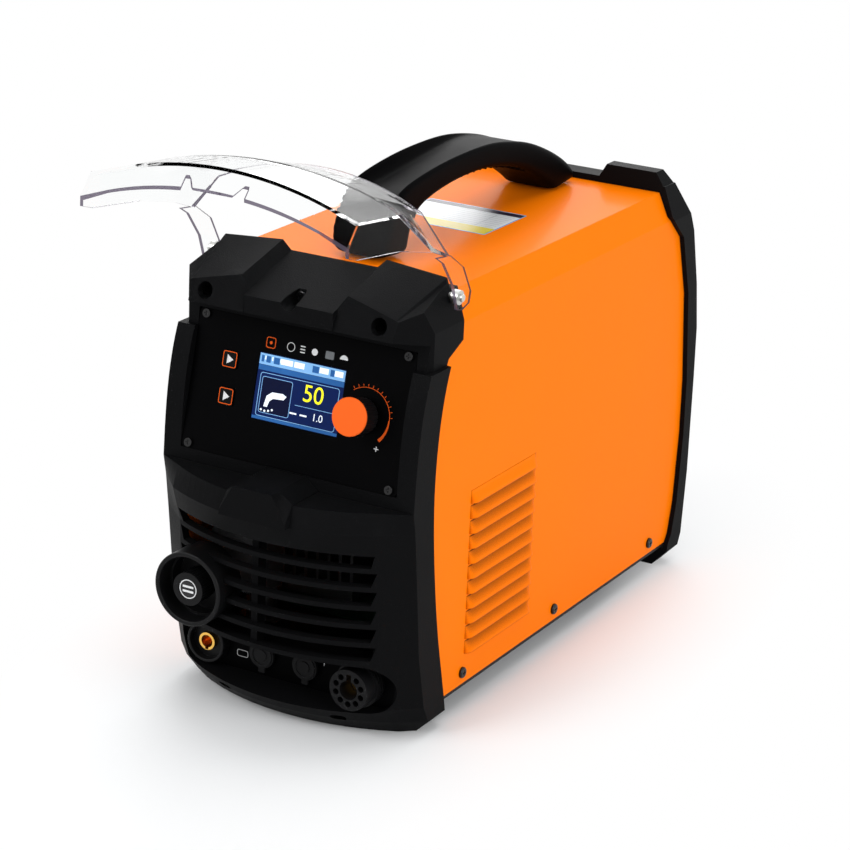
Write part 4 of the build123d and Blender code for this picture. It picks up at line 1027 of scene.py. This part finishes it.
@dataclass
class Studio:
    """Pale floor, soft lamps and the camera."""

    camera_at: Vector = field(default_factory=lambda: Vector((0.9582, -1.7080, 0.8474)))
    camera_target: Vector = field(default_factory=lambda: Vector((0.005, -0.004, 0.1632)))
    camera_roll: float = 2.32
    lens: float = 122.0
    ambient: float = 0.45
    floor_size: float = 6.0
    floor_drop: float = 0.2 * MM
    # distances between which the floor turns white, and how its length counts in them
    floor_fade: Point = (0.1, 0.22)
    floor_squash: tuple[float, float, float] = (1.0, 0.42, 1.0)
    # name, place, size and power of each lamp
    lamps: tuple[tuple[str, tuple[float, float, float], float, float], ...] = (
        ("key", (-1.3, -2.3, 2.1), 1.6, 44.0), ("side", (2.6, -0.7, 1.3), 1.8, 36.0),
        ("top", (0.2, 0.5, 2.6), 1.8, 22.0), ("back", (-1.2, 2.6, 1.7), 1.8, 34.0))

    def build(self) -> None:
        """Build the whole studio."""
        self.build_world()
        self.build_floor()
        for name, place, size, power in self.lamps:
            self.build_lamp(name, Vector(place), size, power)
        self.build_camera()
        bpy.context.scene.view_settings.view_transform = "Standard"

    @staticmethod
    def seen_directly(tree: bpy.types.NodeTree) -> bpy.types.NodeSocket:
        """Mark what the camera sees, itself or in metal or glass.

        Args:
            tree: the tree that the nodes go into.

        Returns:
            Socket that is 1 for camera, glossy and transmitted rays.
        """
        path = tree.nodes.new("ShaderNodeLightPath")
        total = path.outputs["Is Camera Ray"]
        for ray in ("Is Glossy Ray", "Is Transmission Ray"):
            total = combine(tree, "MAXIMUM", total, path.outputs[ray])
        return total

    def build_world(self) -> None:
        """White where it is seen, and a plain level of light elsewhere."""
        world = bpy.data.worlds.new("studio")
        world.use_nodes = True
        tree = world.node_tree
        back = tree.nodes["Background"]
        back.inputs["Color"].default_value = (1.0, 1.0, 1.0, 1.0)
        level = tree.nodes.new("ShaderNodeMapRange")
        level.inputs["To Min"].default_value = self.ambient
        level.inputs["To Max"].default_value = 1.0
        tree.links.new(self.seen_directly(tree), level.inputs["Value"])
        tree.links.new(level.outputs["Result"], back.inputs["Strength"])
        bpy.context.scene.world = world

    def build_floor(self) -> None:
        """A pale floor that keeps a shadow near the object and is white further out."""
        bm = bmesh.new()
        bmesh.ops.create_grid(bm, x_segments=1, y_segments=1, size=self.floor_size)
        bmesh.ops.translate(bm, verts=bm.verts, vec=UP * -self.floor_drop)
        mesh = bpy.data.meshes.new("floor")
        bm.to_mesh(mesh)
        bm.free()
        floor = bpy.data.objects.new("floor", mesh)
        bpy.context.scene.collection.objects.link(floor)
        material = bpy.data.materials.new("pale_floor")
        material.use_nodes = True
        tree = material.node_tree
        shader, output = tree.nodes["Principled BSDF"], tree.nodes["Material Output"]
        shader.inputs["Base Color"].default_value = (0.9, 0.91, 0.92, 1.0)
        shader.inputs["Roughness"].default_value = 0.9
        shader.inputs["Specular IOR Level"].default_value = 0.1
        white = tree.nodes.new("ShaderNodeEmission")
        place = tree.nodes.new("ShaderNodeTexCoord")
        distance = tree.nodes.new("ShaderNodeVectorMath")
        distance.operation = "LENGTH"
        fade = tree.nodes.new("ShaderNodeMapRange")
        fade.inputs["From Min"].default_value, fade.inputs["From Max"].default_value = self.floor_fade
        squash = tree.nodes.new("ShaderNodeMapping")
        squash.inputs["Scale"].default_value = self.floor_squash
        blend = tree.nodes.new("ShaderNodeMixShader")
        tree.links.new(place.outputs["Object"], squash.inputs["Vector"])
        tree.links.new(squash.outputs["Vector"], distance.inputs[0])
        tree.links.new(distance.outputs["Value"], fade.inputs["Value"])
        gate = combine(tree, "MULTIPLY", fade.outputs["Result"], self.seen_directly(tree))
        tree.links.new(gate, blend.inputs[0])
        tree.links.new(shader.outputs["BSDF"], blend.inputs[1])
        tree.links.new(white.outputs["Emission"], blend.inputs[2])
        tree.links.new(blend.outputs["Shader"], output.inputs["Surface"])
        mesh.materials.append(material)

    def build_lamp(self, name: str, place: Vector, size: float, power: float) -> None:
        """Add one square soft lamp that faces the object.

        Args:
            name: the lamp's name.
            place: where it stands, in metres.
            size: its side, in metres.
            power: its power, in watts.
        """
        light = bpy.data.lights.new(name, "AREA")
        light.size = size
        light.energy = power
        lamp = bpy.data.objects.new(name, light)
        bpy.context.scene.collection.objects.link(lamp)
        lamp.location = place
        lamp.rotation_euler = (self.camera_target - place).to_track_quat("-Z", "Y").to_euler()

    def build_camera(self) -> None:
        """The camera, a little rolled."""
        data = bpy.data.cameras.new("camera")
        data.lens = self.lens
        data.sensor_width = 36.0
        camera = bpy.data.objects.new("camera", data)
        bpy.context.scene.collection.objects.link(camera)
        aim = (self.camera_target - self.camera_at).to_track_quat("-Z", "Y").to_matrix()
        turn = aim @ Matrix.Rotation(radians(self.camera_roll), 3, "Z")
        camera.matrix_world = Matrix.Translation(self.camera_at) @ turn.to_4x4()
        bpy.context.scene.camera = camera


def dress_cad_nodes() -> None:
    """Give every CAD node the finish of its material slot."""
    for row in frame["record"]["subparts"]:
        node = frame["nodes"][row["node"]]
        finish = SLOT_FINISH[row["material_slot"]]
        if not node.material_slots:
            node.data.materials.append(None)
        for material_slot in node.material_slots:
            material_slot.material = finish.material()
        LOG.info("%s dressed in %s", node.name, finish.name)


def main() -> None:
    """Build the object's looks in order."""
    logging.basicConfig(level=logging.INFO, format="%(name)s: %(message)s")
    dress_cad_nodes()
    for assembly in (Housing(), Handle(), Louvres(), ControlPanel(), SmallPrint(), Studio()):
        LOG.info("building %s", type(assembly).__name__)
        assembly.build()


if __name__ == "__main__":
    main()
